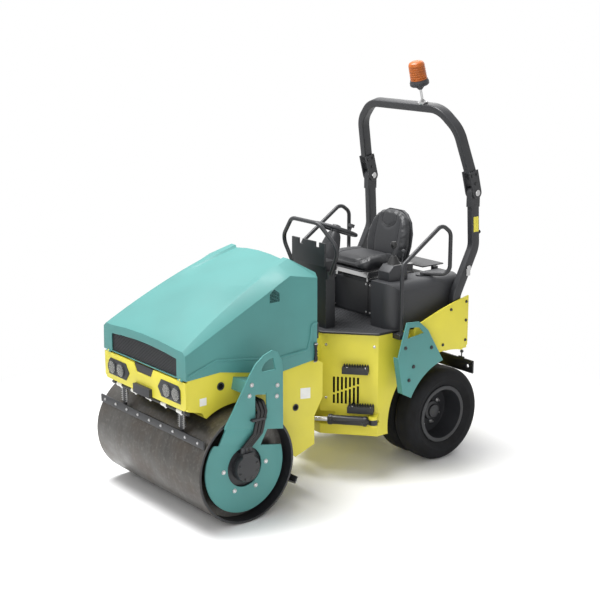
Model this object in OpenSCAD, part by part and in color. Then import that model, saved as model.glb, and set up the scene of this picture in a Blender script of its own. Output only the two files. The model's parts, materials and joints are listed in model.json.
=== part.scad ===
// Articulated combination road roller: smooth steel drum in front, twin smooth tyres at the rear.
// X points forward, Y to the left and Z up. The ground is z = 0 and the origin is below the middle.

/* [Running gear] */
// Outer radius of the drum
drum_r = 407; // [380:1:430]
// Width of the drum
drum_w = 1380; // [1340:1:1390]
// Thickness of the drum's shell
drum_shell = 18; // [12:1:24]
// Distance of the drum's axle ahead of the origin
drum_x = 1010; // [990:1:1030]
// Outer radius of the rear tyres
tyre_r = 374; // [350:1:385]
// Width of one rear tyre
tyre_w = 205; // [195:1:206]
// Gap between twin tyres
twin_gap = 14; // [10:1:16]
// Distance of the rear axle behind the origin
axle_back = 957; // [930:1:970]
// Half of the width over the rear tyres
track_half = 634; // [630:1:637]
// Outer radius of the rear rim's barrel
rim_r = 206; // [190:1:215]

/* [Front half] */
// Half of the width over the front frame's side plates
front_half = 537; // [520:1:538]
// Thickness of the frame's plates
plate_t = 12; // [8:1:16]
// Clearance between the drum and the arch above it
arch_gap = 31; // [24:1:40]
// Half of the width of the hood
hood_half = 550; // [546:1:560]
// Thickness of the hood's shell
hood_t = 6; // [4:1:8]
// Distance of the hood's front face ahead of the origin
hood_front = 1412; // [1406:1:1420]
// Distance of the hood's rear edge ahead of the origin
hood_rear = 275; // [262:1:300]
// Height of the hood's highest crease
hood_top = 1764; // [1720:1:1800]
// Height of the bumper's lower edge
bumper_low = 857; // [840:1:880]
// Height of the bumper's upper edge
bumper_high = 1062; // [1040:1:1066]
// Radius of one headlamp
lamp_r = 54; // [40:1:58]

/* [Drum carriers] */
// Width of the drum's rim outside the carrier's end disc
disc_rim = 74; // [64:1:100]
// Lean of the carriers towards the rear, in degrees
yoke_lean = 10.8; // [6:0.1:14]
// Gap between the drum's end and the carrier's plate
yoke_gap = 10; // [6:1:20]

/* [Centre joint] */
// Distance of the steering pivot ahead of the origin
pivot_x = 27; // [10:1:45]
// Height of the swing axis between the halves
swing_z = 520; // [500:1:540]
// Radius of the steering pin
pin_r = 30; // [24:1:36]
// Radius of the swing shaft
swing_r = 55; // [45:1:60]
// Radius of the steering cylinder's barrel
barrel_r = 36; // [30:1:38]
// Radius of the steering cylinder's rod
rod_r = 18; // [14:1:22]

/* [Rear half] */
// Half of the width of the rear frame
rear_half = 550; // [535:1:560]
// Height of the rear frame's lower edge
rear_low = 308; // [290:1:330]
// Height of the platform under the floor plate
deck_z = 1108; // [1090:1:1120]
// Thickness of the floor plate
floor_t = 20; // [12:1:26]
// Distance of the rear frame's back behind the origin
rear_back = 1172; // [1164:1:1180]
// Height of the seat console's top
console_z = 1430; // [1400:1:1450]
// Radius of the hand rails' tube
rail_r = 16; // [12:1:19]
// Radius of the steering wheel
steer_wheel_r = 178; // [160:1:190]

/* [Roll hoop] */
// Height of the fold hinge
hoop_hinge_z = 2118; // [2090:1:2140]
// Half of the width over the hinge's middle
hoop_half = 604; // [590:1:612]
// Distance of the fold hinge behind the origin
hoop_back = 1233; // [1220:1:1245]
// Length of the folding part along its lean
hoop_len = 660; // [620:1:700]
// Lean of the folding part towards the front, in degrees
hoop_lean = 15; // [10:0.5:18]
// Depth of the hoop's tube along the machine
hoop_deep = 80; // [60:1:90]
// Width of the hoop's tube across the machine
hoop_wide = 60; // [50:1:70]

/* [Hidden] */
$fn = 64;

// Overrun of every cut, running fit of a shaft and the gap where moving faces meet
cut = 2;
run_fit = 0.05;
seat_gap = 0.3;
// Sides of a swept round tube and steps of one bend
tube_sides = 12;
bend_steps = 6;
// Angle of a straight line
half_turn = 180;

// Colours of the finishes
teal = [0.36, 0.62, 0.58];
yellow = [0.95, 0.91, 0.35];
black = [0.10, 0.10, 0.11];
dark = [0.20, 0.20, 0.21];
steel = [0.42, 0.40, 0.37];
silver = [0.75, 0.75, 0.76];

// Heights of the axles
drum_z = drum_r;
axle_z = tyre_r;
axle_x = -axle_back;

// Front frame: outline in x and z, and its inner members
arch_r = drum_r + arch_gap;
frame_set = 17;
frame_front_x = hood_front - frame_set;
frame_low_z = 855;
frame_tip = [1281, 824];
arch_front = [1245, 778];
frame_heel = [465, 320];
frame_back_x = 289;
frame_back_z = [381, 600];
frame_shoulder = [213, 730];
frame_shoulder_top = 992;
frame_top = [[268, 1026], [606, 1020], [894, 1064], [1128, 1106]];
frame_front_top = 1100;
beam_w = 60;
beam_h = 35;
beam_z = [drum_z + arch_r, drum_z + arch_r + beam_h];
beam_front_x = 900;
beam_rear_x = 640;
bearing_x = 196;
bearing_r = 95;

// Engine: one block on the beams
engine_x = [330, 980];
engine_half = 250;
engine_head = 374;
engine_top = hood_top - engine_head;

// Bumper and lamps
bumper_t = 17;
bumper_corner = 26;
notch_half = [130, 95];
notch_h = 62;
notch_gap = 1;
notch_t = 12;
tow_box = [26, 220, 66];
tow_box_z = 850;
pod_t = 5;
pod_y = [190, 236, 477];
pod_z = [898, 960, 1024];
pod_chamfer = 26;
lamp_y = [308, 424];
lamp_z = 958;
lamp_t = 9;

// Hood: heights along its length, in shares of its length from the front
hood_low_shares = [0, 0.25, 0.456, 0.709, 1];
hood_low_z = [1076, 1090, 1046, 996, 1035];
ridge_front = [540, 1250];
ridge_peak = [505, 1675];
ridge_rear = [549, 1640];
ridge_peak_share = 0.8135;
crease_front_z = 1277;
crease_rear_z = 1675;
crease_peak_share = 0.899;
crease_bow_share = 0.29;
crease_front_y = 505;
crease_peak_y = 350;
crease_rear_y = 526;
crown_h = 22;
crown_side_share = 0.75;
shoulder_w = 55;
shoulder_step_w = 14;
shoulder_drop = 18;
drop_from_share = 0.4;
hood_steps = 16;
grille_half = 430;
grille_low = 1082;
grille_high = 1212;
grille_arch = 24;
grille_t = 14;
grille_set = 16;
bar_count = 4;
bar_share = 0.42;
arch_steps = 10;
hood_axis_z = 1072;
hood_pin_r = 5;
hood_knuckle_r = 9;
hood_lug_in = 67;
hood_lug_y = front_half - hood_lug_in;
hood_lug_t = 12;
hood_knuckle_l = 16;
lug_lap = 10;
latch = [34, 16, 150];
latch_z = 1012;

// Drum's ends and drive
disc_in = 45;
disc_y = drum_w / 2 - disc_in;
disc_r = drum_r - disc_rim;
yoke_y = drum_w / 2 + yoke_gap;
web_in = 120;
web_y = drum_w / 2 - web_in;
web_t = 16;
hub_r = 85;
hub_l = 60;
shaft_r = 45;
flange_r = 206;
flange_t = 14;
buffer_l = 9;
flange_y = disc_y - buffer_l - flange_t;
motor_r = 99;
motor_out = 20;
motor_end = disc_y + motor_out;
port = [48, 62, 113];
disc_t = 12;
disc_hole_r = 145;
disc_flat_h = 155;
buffer_r = 20;
buffer_pcd_r = 182;
buffer_count = 6;

// Drum carriers: outline of the outer plate and of its lifting eye in x and z from the drum's axle
yoke_t = 12;
yoke_outline = [
  [-298, 233], [205, 331], [198, 350], [140, 433], [35, 603], [-10, 676], [-62, 746], [-130, 797],
  [-202, 822], [-256, 800], [-290, 733], [-298, 659]
];
yoke_eye = [[-234, 680], [-117, 680], [-112, 704], [-142, 743], [-180, 763], [-214, 765]];
yoke_slot_x = [-154, -56];
yoke_slot_z = [338, 527];
fold_u = [-110, 250];
fold_v = [150, 292];
bracket_u = [-150, 125];
bracket_v = [530, 618];

// Hoses from the carrier's slot to the drum's motor
hose_r = 13;
hose_pitch = 30;
hose_count = 3;
hose_top = [-105, 463];
hose_mid = [-65, 253];
hose_clear = 1;
hose_out_y = yoke_y + yoke_t + hose_r + hose_clear;
hose_in = 31;
hose_in_y = disc_y + hose_in;

// Scrapers, as places on circles about the drum
scraper_gap = 6;
front_bar_up = [213, 273];
front_bar_t = 12;
front_arm_y = 380;
front_arm_back = 24;
front_arm_up = 257;
front_hanger_h = 24;
rear_scraper_angle = 207;
rear_scraper_deep = 70;
scraper_t = 10;
scraper_in = 6;
scraper_half = drum_w / 2 - scraper_in;
rear_arm_l = 185;
hanger_h = 30;
arm_y = 470;
arm_t = 14;
arm_w = 36;
lip_w = 44;

// Water spray bar under the bumper
spray_x = 1368;
spray_z = 822;
spray_r = 13;
spray_half = 500;
nozzle_count = 5;
nozzle_r = 15;
nozzle_l = 60;

// Centre joint
clevis_t = 25;
clevis_half = 72;
clevis_z = [388, 636];
knuckle_r = 60;
arm_z = 408;
arm_plate_t = 24;
crank_r = 200;
crank_angle = 70;
crank_end_r = 30;
ram_z = arm_z + arm_plate_t + seat_gap;
eye_lap = 3;
ram_eye_t = 2 * (rod_r + eye_lap);
ram_base = [-240, 590];
barrel_start = 46;
barrel_l = 300;
lug_t = 16;
lug_r = 34;
ram_pin_r = 14;

// Rear frame: plan and cut-outs
nose_x = -30;
nose_half = 215;
corner_x = -320;
waist_x = -640;
post_gap = 4;
deck_half = hoop_half + hoop_wide / 2 + post_gap;
well_gap = 158;
well_y = 190;
well_top = 890;
well_box_x = -760;
pocket_x = -60;
pocket_half = 110;
pocket_top = 690;
nose_slot_x = -105;
nose_slot_z = [385, 492];
slot_columns = 7;
slot_w = 17;
slot_deep = 14;
slot_pitch = 31;
slot_low = 555;
slot_high = 770;
slot_split = [709, 634];
slot_bridge = 14;
slot_from_corner = 144;

// Steps on the angled panels
step_w = 200;
step_deep = 74;
step_t = 8;
step_rise = 50;
step_z = [505, 815];
step_along = [25, 68];

// Fender plates: outline in x and z
fender_t = 12;
fender_top_z = 1318;
fender_low_z = 919;
fender_notch = [-1057, 859];
fender_front = [-891, 919];
fender_foot_x = -600;
fender_curve_z = 1150;
fender_bow_share = 0.38;
fender_drop = 31;

// Tyre guards: outline in x and z
guard_gap = 40;
guard_y = deck_half + fender_t + guard_gap;
guard_t = 10;
guard_top_z = 1216;
guard_top_x = [-470, -596];
guard_shoulder = [-694, 1125];
guard_rear = [-868, 843];
guard_arc_gap = 118;
guard_tip = [[-505, 626], [-440, 660]];
guard_front = [-386, 950];
guard_hole = [[-478, 1088], [-500, 1172], [-600, 1160], [-650, 1108]];
guard_flange_w = 45;
guard_bracket_x = [-580, -500];
guard_bracket_z = [800, 900];

// Rear axle and wheels
axle_flange_r = 110;
axle_flange_t = 20;
spindle_r = 45;
barrel_t = 8;
lip_h = 22;
lip_t = 9;
wheel_hub_r = 78;
wheel_web_t = 12;
hub_cap = 60;
shoulder_r = 60;
bead_in = 32;
bead_h = 25;
belly_up = 80;

// Operator's platform
floor_nose_x = -34;
floor_nose_half = 236;
console_x = [-1150, -600];
console_half = 320;
fairing_x = [-1150, -432];
fairing_in = 330;
fairing_out = hoop_half - hoop_wide / 2 - post_gap;
floor_step = 14;
floor_side = fairing_out - floor_step;
fairing_top = 1482;
fairing_round = 90;
fairing_nose = 130;
rail_base_t = 30;
rail_base_x = [-1000, -520];
rail_base_half = 190;
cushion_x = [-817, -407];
cushion_half = 245;
cushion_z = [1520, 1640];
cushion_round = 70;
back_half = 235;
back_h = 460;
back_t = 110;
back_foot = [-822, 1510];
back_lean = 10;
back_round = 90;
lever_box_x = [-690, -500];
lever_box_y = 335;
lever_box_w = 125;
lever_box_h = 118;
lever_box_z = fairing_top + lever_box_h;
lever_box_slope = 46;
boot_r = [46, 18];
boot_h = 60;
lever_x = -600;
lever_r = 9;
lever_h = 150;
knob_r = 24;

// Dash column, its guard plate and the steering column
dash_x = [-182, -92];
dash_half = 200;
dash_z = 1650;
guard_plate_t = 14;
guard_plate_low = 1610;
guard_plate_high = 1790;
guard_notch_w = 46;
guard_notch_h = 40;
guard_notch_y = [-70, 85];
wheel_pos = [-352, 0, 1842];
wheel_tilt = 22;
wheel_tube_r = 14;
wheel_hub = 34;
wheel_hub_h = 40;
wheel_shaft_r = 14;
spoke_r = 8;
spoke_count = 3;
knob_post = 40;
column_r = 34;
column_l = 470;

// Hand rails: corner points of the left rail and of the loop in front of the dash
rail_y = hoop_half;
rail_front_x = -500;
rail_rear_x = -1000;
rail_pad = 80;
rail_pad_t = 40;
rail_knee_z = 1630;
rail_top = [-905, 1900];
rail_low_z = fairing_top + rail_r + seat_gap;
rail_in = [-850, 430];
rail_bend = 70;
loop_top = [-50, 166, 1942];
loop_side = [-97, 342, 1760];
loop_low = [-118, 220, 1545];
loop_pad = [44, 30, 60];
loop_bend = 45;

// Roll hoop: posts, brackets and the folding part
post_foot = [-1060, 1320];
post_knee = [-1252, 1690];
post_bend = 160;
post_top_gap = 85;
ear_t = 14;
ear_r = 46;
ear_gap = 1;
hinge_pin_r = 16;
hoop_shoulder_y = 556;
hoop_shoulder_share = 0.76;
hoop_bend = 220;
ear_l = 118;
ear_lap = 60;

// Beacon on the top bar
beacon_y = 207;
stalk_r = 10;
stalk_h = 110;
beacon_foot = [40, 14];
neck_r = [14, 40];
neck_h = 30;
beacon_base_r = 74;
beacon_base_h = 50;
beacon_r = 66;
beacon_h = 146;
beacon_round = 22;

// Rear shelf, rear bar and tow eye
shelf_x = [-1230, -1000];
shelf_half = 300;
shelf_rise = 70;
shelf_z = console_z + shelf_rise;
shelf_t = 10;
shelf_leg = 40;
bar_x = -1300;
bar_t = 14;
bar_z = [636, 742];
bar_half = 590;
bar_hole_r = 14;
bar_hole_in = 58;
tow_t = 24;
tow_w = 110;
tow_z = 600;
tow_back = 1436;
tow_hole_r = 22;

// Hoses across the joint
link_hose_r = 12;
link_pitch = 30;
link_out = 70;
link_drop = 84;

// Unit vector, and points of the arc that rounds the corner b between a and c
function unit(v) = v / norm(v);
function bend(a, b, c, r, n) =
  let (u = unit(a - b), v = unit(c - b), half = acos(u * v) / 2)
  let (mid = b + unit(u + v) * (r / sin(half)), p = b + u * (r / tan(half)) - mid)
  let (q = b + v * (r / tan(half)) - mid, turn = half_turn - 2 * half)
  [for (i = [0 : n]) mid + (p * sin(turn * (1 - i / n)) + q * sin(turn * i / n)) / sin(turn)];
function rounded(p, r, n) =
  [p[0], for (i = [1 : len(p) - 2]) each bend(p[i - 1], p[i], p[i + 1], r, n), p[len(p) - 1]];

// Directions along a path, and normals carried along it without twist
function along(p) = [for (i = [0 : len(p) - 1]) unit(p[min(i + 1, len(p) - 1)] - p[max(i - 1, 0)])];
function carried(t, n, i = 0) =
  i == len(t) ? [] : let (m = unit(n - (n * t[i]) * t[i])) concat([m], carried(t, m, i + 1));
function ring_points(r, sides) =
  [for (i = [0 : sides - 1]) let (a = 2 * half_turn * i / sides) r * [cos(a), sin(a)]];

// Closed solid through a list of rings with equal numbers of points
module loft(rings) {
  count = len(rings[0]);
  last = len(rings) - 1;
  polyhedron(
    points = [for (r = rings) each r],
    faces = concat(
      [[for (i = [0 : count - 1]) i]],
      [for (k = [0 : last - 1], i = [0 : count - 1])
        [k * count + i, (k + 1) * count + i, (k + 1) * count + (i + 1) % count]],
      [for (k = [0 : last - 1], i = [0 : count - 1])
        [k * count + i, (k + 1) * count + (i + 1) % count, k * count + (i + 1) % count]],
      [[for (i = [count - 1 : -1 : 0]) last * count + i]]
    )
  );
}

// Flat section swept along a path, its first axis starting along the given normal
module sweep(path, section, normal) {
  t = along(path);
  n = carried(t, normal);
  loft([for (i = [0 : len(path) - 1])
    [for (s = section) path[i] + s[0] * n[i] + s[1] * cross(t[i], n[i])]]);
}

// Round tube along a path
module tube(path, r, normal = [0, 0, 1]) {
  sweep(path, ring_points(r, tube_sides), normal);
}

// Outline in x and z, as a plate that starts at y and is t thick
module plate_xz(points, y, t) {
  translate([0, y + t, 0]) rotate([90, 0, 0]) linear_extrude(t) polygon(points);
}

// Outline in y and z, as a plate that starts at x and is t thick
module plate_yz(points, x, t) {
  translate([x, 0, 0]) rotate([90, 0, 90]) linear_extrude(t) polygon(points);
}

// Box between two corners
module block(low, high) {
  translate(low) cube(high - low);
}

// Cylinders along y and x
module rod_y(p, r, l) {
  translate(p) rotate([-90, 0, 0]) cylinder(r = r, h = l);
}

module rod_x(p, r, l) {
  translate(p) rotate([0, 90, 0]) cylinder(r = r, h = l);
}

// A piece on the left and its mirror image on the right
module both_sides() {
  children();
  mirror([0, 1, 0]) children();
}

// Frame of the drum's centre, leaning with the carriers
module at_drum(lean = 0) {
  translate([drum_x, 0, drum_z]) rotate([0, -lean, 0]) children();
}

// Side outline of the front frame, without its arch
frame_outline = concat(
  [[frame_front_x, frame_low_z], frame_tip, arch_front],
  [[drum_x, drum_z], [drum_x - arch_r, drum_z], frame_heel],
  [[frame_back_x, frame_back_z[0]], [frame_back_x, frame_back_z[1]], frame_shoulder],
  [[frame_shoulder[0], frame_shoulder_top]],
  frame_top,
  [[frame_front_x, frame_front_top]]
);

// Bore of the swing shaft's bearing, through a length
module swing_bore(l) {
  rod_x([bearing_x - cut, 0, swing_z], swing_r + run_fit, l + 2 * cut);
}

// Lug above the bumper that carries the hood's pin
module hood_lug() {
  root_x = frame_front_x - plate_t;
  base_z = hood_axis_z - hood_knuckle_r;
  rod_y([hood_front, hood_lug_y, hood_axis_z], hood_knuckle_r, hood_lug_t);
  plate_xz(
    [
      [root_x, base_z - lug_lap], [frame_front_x, base_z - lug_lap], [frame_front_x, base_z],
      [hood_front, base_z], [hood_front, hood_axis_z], [frame_front_x, hood_axis_z]
    ],
    hood_lug_y, hood_lug_t
  );
}

module front_frame() {
  inner = front_half - plate_t;
  color(yellow) {
    difference() {
      union() {
        both_sides() plate_xz(frame_outline, inner, plate_t);
        intersection() {
          plate_xz(frame_outline, -inner, 2 * inner);
          rod_y([drum_x, -inner, drum_z], arch_r + plate_t, 2 * inner);
        }
        block([frame_front_x - plate_t, -inner, frame_low_z], [frame_front_x, inner, bumper_high]);
        block([frame_back_x, -inner, frame_back_z[0]], [frame_back_x + plate_t, inner, frame_top[1][1]]);
        for (x = [beam_rear_x, beam_front_x])
          block([x, -inner, beam_z[0]], [x + beam_w, inner, beam_z[1]]);
        block(
          [front_bar_x - front_arm_back, -inner, frame_low_z],
          [frame_front_x - plate_t, inner, frame_low_z + front_hanger_h]
        );
        scraper_hanger(rear_scraper_angle, rear_scraper_deep, rear_arm_l);
        both_sides() hood_lug();
      }
      both_sides()
        rod_y([hood_front, hood_lug_y - cut, hood_axis_z], hood_pin_r + run_fit, hood_lug_t + 2 * cut);
      rod_y([drum_x, -front_half - cut, drum_z], arch_r, 2 * (front_half + cut));
      swing_bore(frame_back_x - bearing_x + plate_t);
    }
    difference() {
      rod_x([bearing_x, 0, swing_z], bearing_r, frame_back_x - bearing_x);
      swing_bore(frame_back_x - bearing_x);
    }
  }
}

module bumper() {
  outline = [
    [-front_half + bumper_corner, bumper_low], [front_half - bumper_corner, bumper_low],
    [front_half, bumper_low + bumper_corner], [front_half, bumper_high],
    [notch_half[0], bumper_high], [notch_half[1], bumper_high - notch_h],
    [-notch_half[1], bumper_high - notch_h], [-notch_half[0], bumper_high],
    [-front_half, bumper_high], [-front_half, bumper_low + bumper_corner]
  ];
  color(yellow) plate_yz(outline, frame_front_x, bumper_t);
}

module lamp_pods() {
  outline = [
    [pod_y[1], pod_z[0]], [pod_y[2], pod_z[0]], [pod_y[2], pod_z[2] - pod_chamfer],
    [pod_y[2] - pod_chamfer, pod_z[2]], [pod_y[1], pod_z[2]], [pod_y[0], pod_z[1]]
  ];
  top = [notch_half[0] - notch_gap, bumper_high];
  floor = [notch_half[1] - notch_gap, bumper_high - notch_h + notch_gap];
  insert = [top, [-top[0], top[1]], [-floor[0], floor[1]], floor];
  front = frame_front_x + bumper_t;
  color(black) {
    both_sides() plate_yz(outline, front, pod_t);
    block(
      [front, -tow_box[1] / 2, tow_box_z],
      [front + tow_box[0], tow_box[1] / 2, tow_box_z + tow_box[2]]
    );
    plate_yz(insert, frame_front_x, notch_t);
  }
}

module headlamps() {
  color(silver) both_sides() for (y = lamp_y)
    rod_x([frame_front_x + bumper_t + pod_t, y, lamp_z], lamp_r, lamp_t);
}

module engine_block() {
  color(dark) block([engine_x[0], -engine_half, beam_z[1]], [engine_x[1], engine_half, engine_top]);
}

// Outer plate of a carrier, with its lifting eye and the slot of the hoses
module yoke_plate() {
  at_drum() difference() {
    plate_xz(yoke_outline, yoke_y, yoke_t);
    plate_xz(yoke_eye, yoke_y - cut, yoke_t + 2 * cut);
    block(
      [yoke_slot_x[0], yoke_y - cut, yoke_slot_z[0]],
      [yoke_slot_x[1], yoke_y + yoke_t + cut, yoke_slot_z[1]]
    );
  }
}

module drum_yokes() {
  fold = [
    [disc_y, fold_v[0]], [disc_y + disc_t, fold_v[0]],
    [yoke_y + yoke_t, fold_v[1]], [yoke_y, fold_v[1]]
  ];
  color(teal) both_sides() {
    yoke_plate();
    at_drum(yoke_lean) {
      difference() {
        rod_y([0, disc_y, 0], disc_r, disc_t);
        rod_y([0, disc_y - cut, 0], disc_hole_r, disc_t + 2 * cut);
        block([-disc_r, disc_y - cut, disc_flat_h], [disc_r, disc_y + disc_t + cut, disc_r]);
      }
      plate_yz(fold, fold_u[0], fold_u[1] - fold_u[0]);
      block(
        [bracket_u[0], front_half, bracket_v[0]],
        [bracket_u[1], yoke_y + yoke_t / 2, bracket_v[1]]
      );
    }
  }
}

module drum_motors() {
  color(black) both_sides() at_drum(yoke_lean) {
    rod_y([0, web_y - hub_l / 2, 0], shaft_r, flange_y - web_y + hub_l / 2);
    rod_y([0, flange_y, 0], flange_r, flange_t);
    rod_y([0, flange_y + flange_t, 0], motor_r, motor_end - flange_y - flange_t);
    for (i = [0 : buffer_count - 1])
      rotate([0, i * 2 * half_turn / buffer_count, 0])
        rod_y([buffer_pcd_r, flange_y + flange_t, 0], buffer_r, buffer_l);
  }
  color(black) both_sides() at_drum()
    block([-port[0], disc_y - disc_t, 0], [port[0], disc_y + port[1], port[2]]);
}

// One hose: from the frame through the carrier's slot, over the fold and down to the motor's port
function drum_hose_path(shift) = [
  [hose_top[0] + shift, front_half + seat_gap, hose_top[1]],
  [hose_top[0] + shift, yoke_y - hose_r, hose_top[1]],
  [hose_top[0] + shift, hose_out_y, hose_top[1] - 2 * hose_pitch],
  [hose_mid[0] + shift, hose_out_y, hose_mid[1]],
  [shift, hose_in_y, port[2] + hose_pitch],
  [shift, hose_in_y, port[2] + seat_gap]
];

module drum_hoses() {
  color(black) both_sides() at_drum() for (i = [0 : hose_count - 1])
    tube(rounded(drum_hose_path((i - 1) * hose_pitch), hose_r, bend_steps), hose_r, [1, 0, 0]);
}

// Bar in front of the drum, its lower edge close to the drum, on two arms
front_bar_x = drum_x + sqrt(pow(drum_r, 2) - pow(front_bar_up[0], 2)) + scraper_gap;

module front_scraper() {
  back = front_bar_x - front_arm_back;
  color(black) {
    block(
      [front_bar_x, -scraper_half, drum_z + front_bar_up[0]],
      [front_bar_x + front_bar_t, scraper_half, drum_z + front_bar_up[1]]
    );
    for (s = [-1, 1]) {
      low = [0, s * front_arm_y - arm_w / 2, drum_z + front_arm_up];
      high = [0, s * front_arm_y + arm_w / 2, drum_z + front_bar_up[1]];
      block(low + [back, 0, 0], high + [front_bar_x, 0, 0]);
      block(low + [back, 0, 0], [back + front_bar_t, high[1], frame_low_z]);
    }
  }
}

// Scraper blade at an angle round the drum, with its lip and two arms
module rear_scraper() {
  out = drum_r + scraper_gap + rear_scraper_deep;
  color(black) at_drum() rotate([0, -rear_scraper_angle, 0]) mirror([0, 0, 1]) {
    block([drum_r + scraper_gap, -scraper_half, -scraper_t / 2], [out, scraper_half, scraper_t / 2]);
    block([out - scraper_t, -scraper_half, scraper_t / 2], [out, scraper_half, scraper_t / 2 + lip_w]);
    for (s = [-1, 1])
      block(
        [out - scraper_t - arm_t, s * arm_y - arm_w / 2, scraper_t / 2],
        [out - scraper_t, s * arm_y + arm_w / 2, rear_arm_l]
      );
  }
}

// Cross tube of the frame that a scraper's arms end on
module scraper_hanger(angle, deep, arm_l) {
  inner = front_half - plate_t;
  at_drum() rotate([0, -angle, 0]) mirror([0, 0, 1])
    block(
      [drum_r + scraper_gap + deep - scraper_t - 2 * arm_t, -inner, arm_l],
      [drum_r + scraper_gap + deep - scraper_t + arm_t, inner, arm_l + hanger_h]
    );
}

module spray_bar() {
  color(black) {
    rod_y([spray_x, -spray_half, spray_z], spray_r, 2 * spray_half);
    for (s = [-1, 1])
      block(
        [spray_x - spray_r, s * arm_y - arm_t, spray_z],
        [frame_front_x - plate_t, s * arm_y + arm_t, frame_low_z]
      );
  }
  color(silver) for (i = [0 : nozzle_count - 1]) {
    y = spray_half * (2 * i + 1 - nozzle_count) / nozzle_count;
    rod_y([spray_x, y - nozzle_l / 2, spray_z], nozzle_r, nozzle_l);
  }
}

// Cross section of the hood at a share of its length, ordered for a loft towards the front
function hood_low(s) =
  lookup(s, [for (i = [0 : len(hood_low_z) - 1]) [hood_low_shares[i], hood_low_z[i]]]);
function ridge(s, i) =
  lookup(s, [[0, ridge_front[i]], [ridge_peak_share, ridge_peak[i]], [1, ridge_rear[i]]]);
function hood_y_crease(s) =
  lookup(s, [[0, crease_front_y], [crease_peak_share, crease_peak_y], [1, crease_rear_y]]);
function hood_z_crease(s) =
  s > crease_peak_share
    ? lookup(s, [[crease_peak_share, hood_top], [1, crease_rear_z]])
    : let (u = s / crease_peak_share)
      crease_front_z + (hood_top - crease_front_z) * (u + crease_bow_share * u * (1 - u));
function shoulder_fall(s) =
  lookup(s, [[0, 0], [drop_from_share, 0], [crease_peak_share, shoulder_drop], [1, 0]]);
function hood_half_ring(s, inset, low) =
  let (y = hood_y_crease(s) - inset, z = hood_z_crease(s) - inset)
  let (step_y = hood_y_crease(s) - shoulder_w + inset)
  let (panel_y = step_y - shoulder_step_w, panel_z = z - shoulder_fall(s))
  [
    [hood_half - inset, low], [ridge(s, 0) - inset, ridge(s, 1) - inset], [y, z], [step_y, z],
    [panel_y, panel_z], [panel_y / 2, panel_z + crown_side_share * crown_h]
  ];
function hood_ring(s, inset, low) =
  let (x = hood_front - s * (hood_front - hood_rear), half = hood_half_ring(s, inset, low))
  let (last = len(half) - 1, top = half[last][1] + (1 - crown_side_share) * crown_h)
  concat(
    [for (p = half) [x, p[0], p[1]]], [[x, 0, top]],
    [for (i = [last : -1 : 0]) [x, -half[i][0], half[i][1]]]
  );

module hood() {
  shares = concat(
    [1, crease_peak_share],
    [for (i = [hood_steps : -1 : 0]) ridge_peak_share * i / hood_steps]
  );
  end_share = hood_t / (hood_front - hood_rear);
  low_pts = [for (s = hood_low_shares) [hood_front - s * (hood_front - hood_rear), hood_low(s)]];
  floor_z = min(hood_low_z) - crown_h;
  color(teal) {
    difference() {
      loft([for (s = shares) hood_ring(s, 0, floor_z)]);
      loft([for (s = shares) hood_ring(min(max(s, end_share), 1 - end_share), hood_t, floor_z - cut)]);
      plate_xz(
        concat(low_pts, [[hood_rear - cut, floor_z - cut], [hood_front + cut, floor_z - cut]]),
        -hood_half - cut, 2 * (hood_half + cut)
      );
      grille_outline(hood_front - hood_t - cut, hood_t + 2 * cut);
      both_sides() rod_y(
        [hood_front, hood_lug_y - seat_gap, hood_axis_z], hood_knuckle_r + seat_gap, hood_lug_t + 2 * seat_gap
      );
    }
    both_sides() {
      rod_y([hood_front, hood_lug_y - cut, hood_axis_z], hood_pin_r, hood_lug_t + 2 * cut);
      for (y = [hood_lug_y - seat_gap - hood_knuckle_l, hood_lug_y + hood_lug_t + seat_gap])
        rod_y([hood_front, y, hood_axis_z], hood_knuckle_r, hood_knuckle_l);
    }
  }
}

// Opening of the grille, arched on top
module grille_outline(x, t) {
  plate_yz(
    concat(
      [[-grille_half, grille_low], [grille_half, grille_low]],
      [for (i = [arch_steps : -1 : -arch_steps]) let (u = i / arch_steps)
        [grille_half * u, grille_high + grille_arch * (1 - pow(u, 2))]]
    ),
    x, t
  );
}

module grille() {
  x = hood_front - hood_t - grille_t;
  pitch = (grille_high - grille_low) / bar_count;
  color(black) {
    for (i = [0 : bar_count - 1])
      block(
        [x, -grille_half - grille_set, grille_low + i * pitch],
        [x + grille_t, grille_half + grille_set, grille_low + (i + bar_share) * pitch]
      );
    for (s = [-1, 0, 1])
      block(
        [x - grille_t, s * grille_half - grille_set, grille_low],
        [x, s * grille_half + grille_set, grille_high]
      );
  }
}

module hood_latches() {
  color(black) both_sides() {
    block(
      [hood_rear + cut, hood_half, latch_z],
      [hood_rear + latch[0], hood_half + latch[1], latch_z + latch[2]]
    );
  }
}

module drum() {
  half = drum_w / 2;
  bore = shaft_r + run_fit;
  color(steel) translate([drum_x, 0, drum_z]) rotate([-90, 0, 0]) rotate_extrude() {
    translate([drum_r - drum_shell, -half]) square([drum_shell, drum_w]);
    for (s = [-1, 1]) {
      translate([bore, s * web_y - web_t / 2]) square([drum_r - bore - drum_shell / 2, web_t]);
      translate([bore, s * web_y - hub_l / 2]) square([hub_r - bore, hub_l]);
    }
  }
}

// Steering crank's eye and the steering cylinder's line
crank_eye = [pivot_x + crank_r * cos(crank_angle), crank_r * sin(crank_angle)];
ram_angle = atan2(crank_eye[1] - ram_base[1], crank_eye[0] - ram_base[0]);
ram_length = norm(crank_eye - ram_base);

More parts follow.
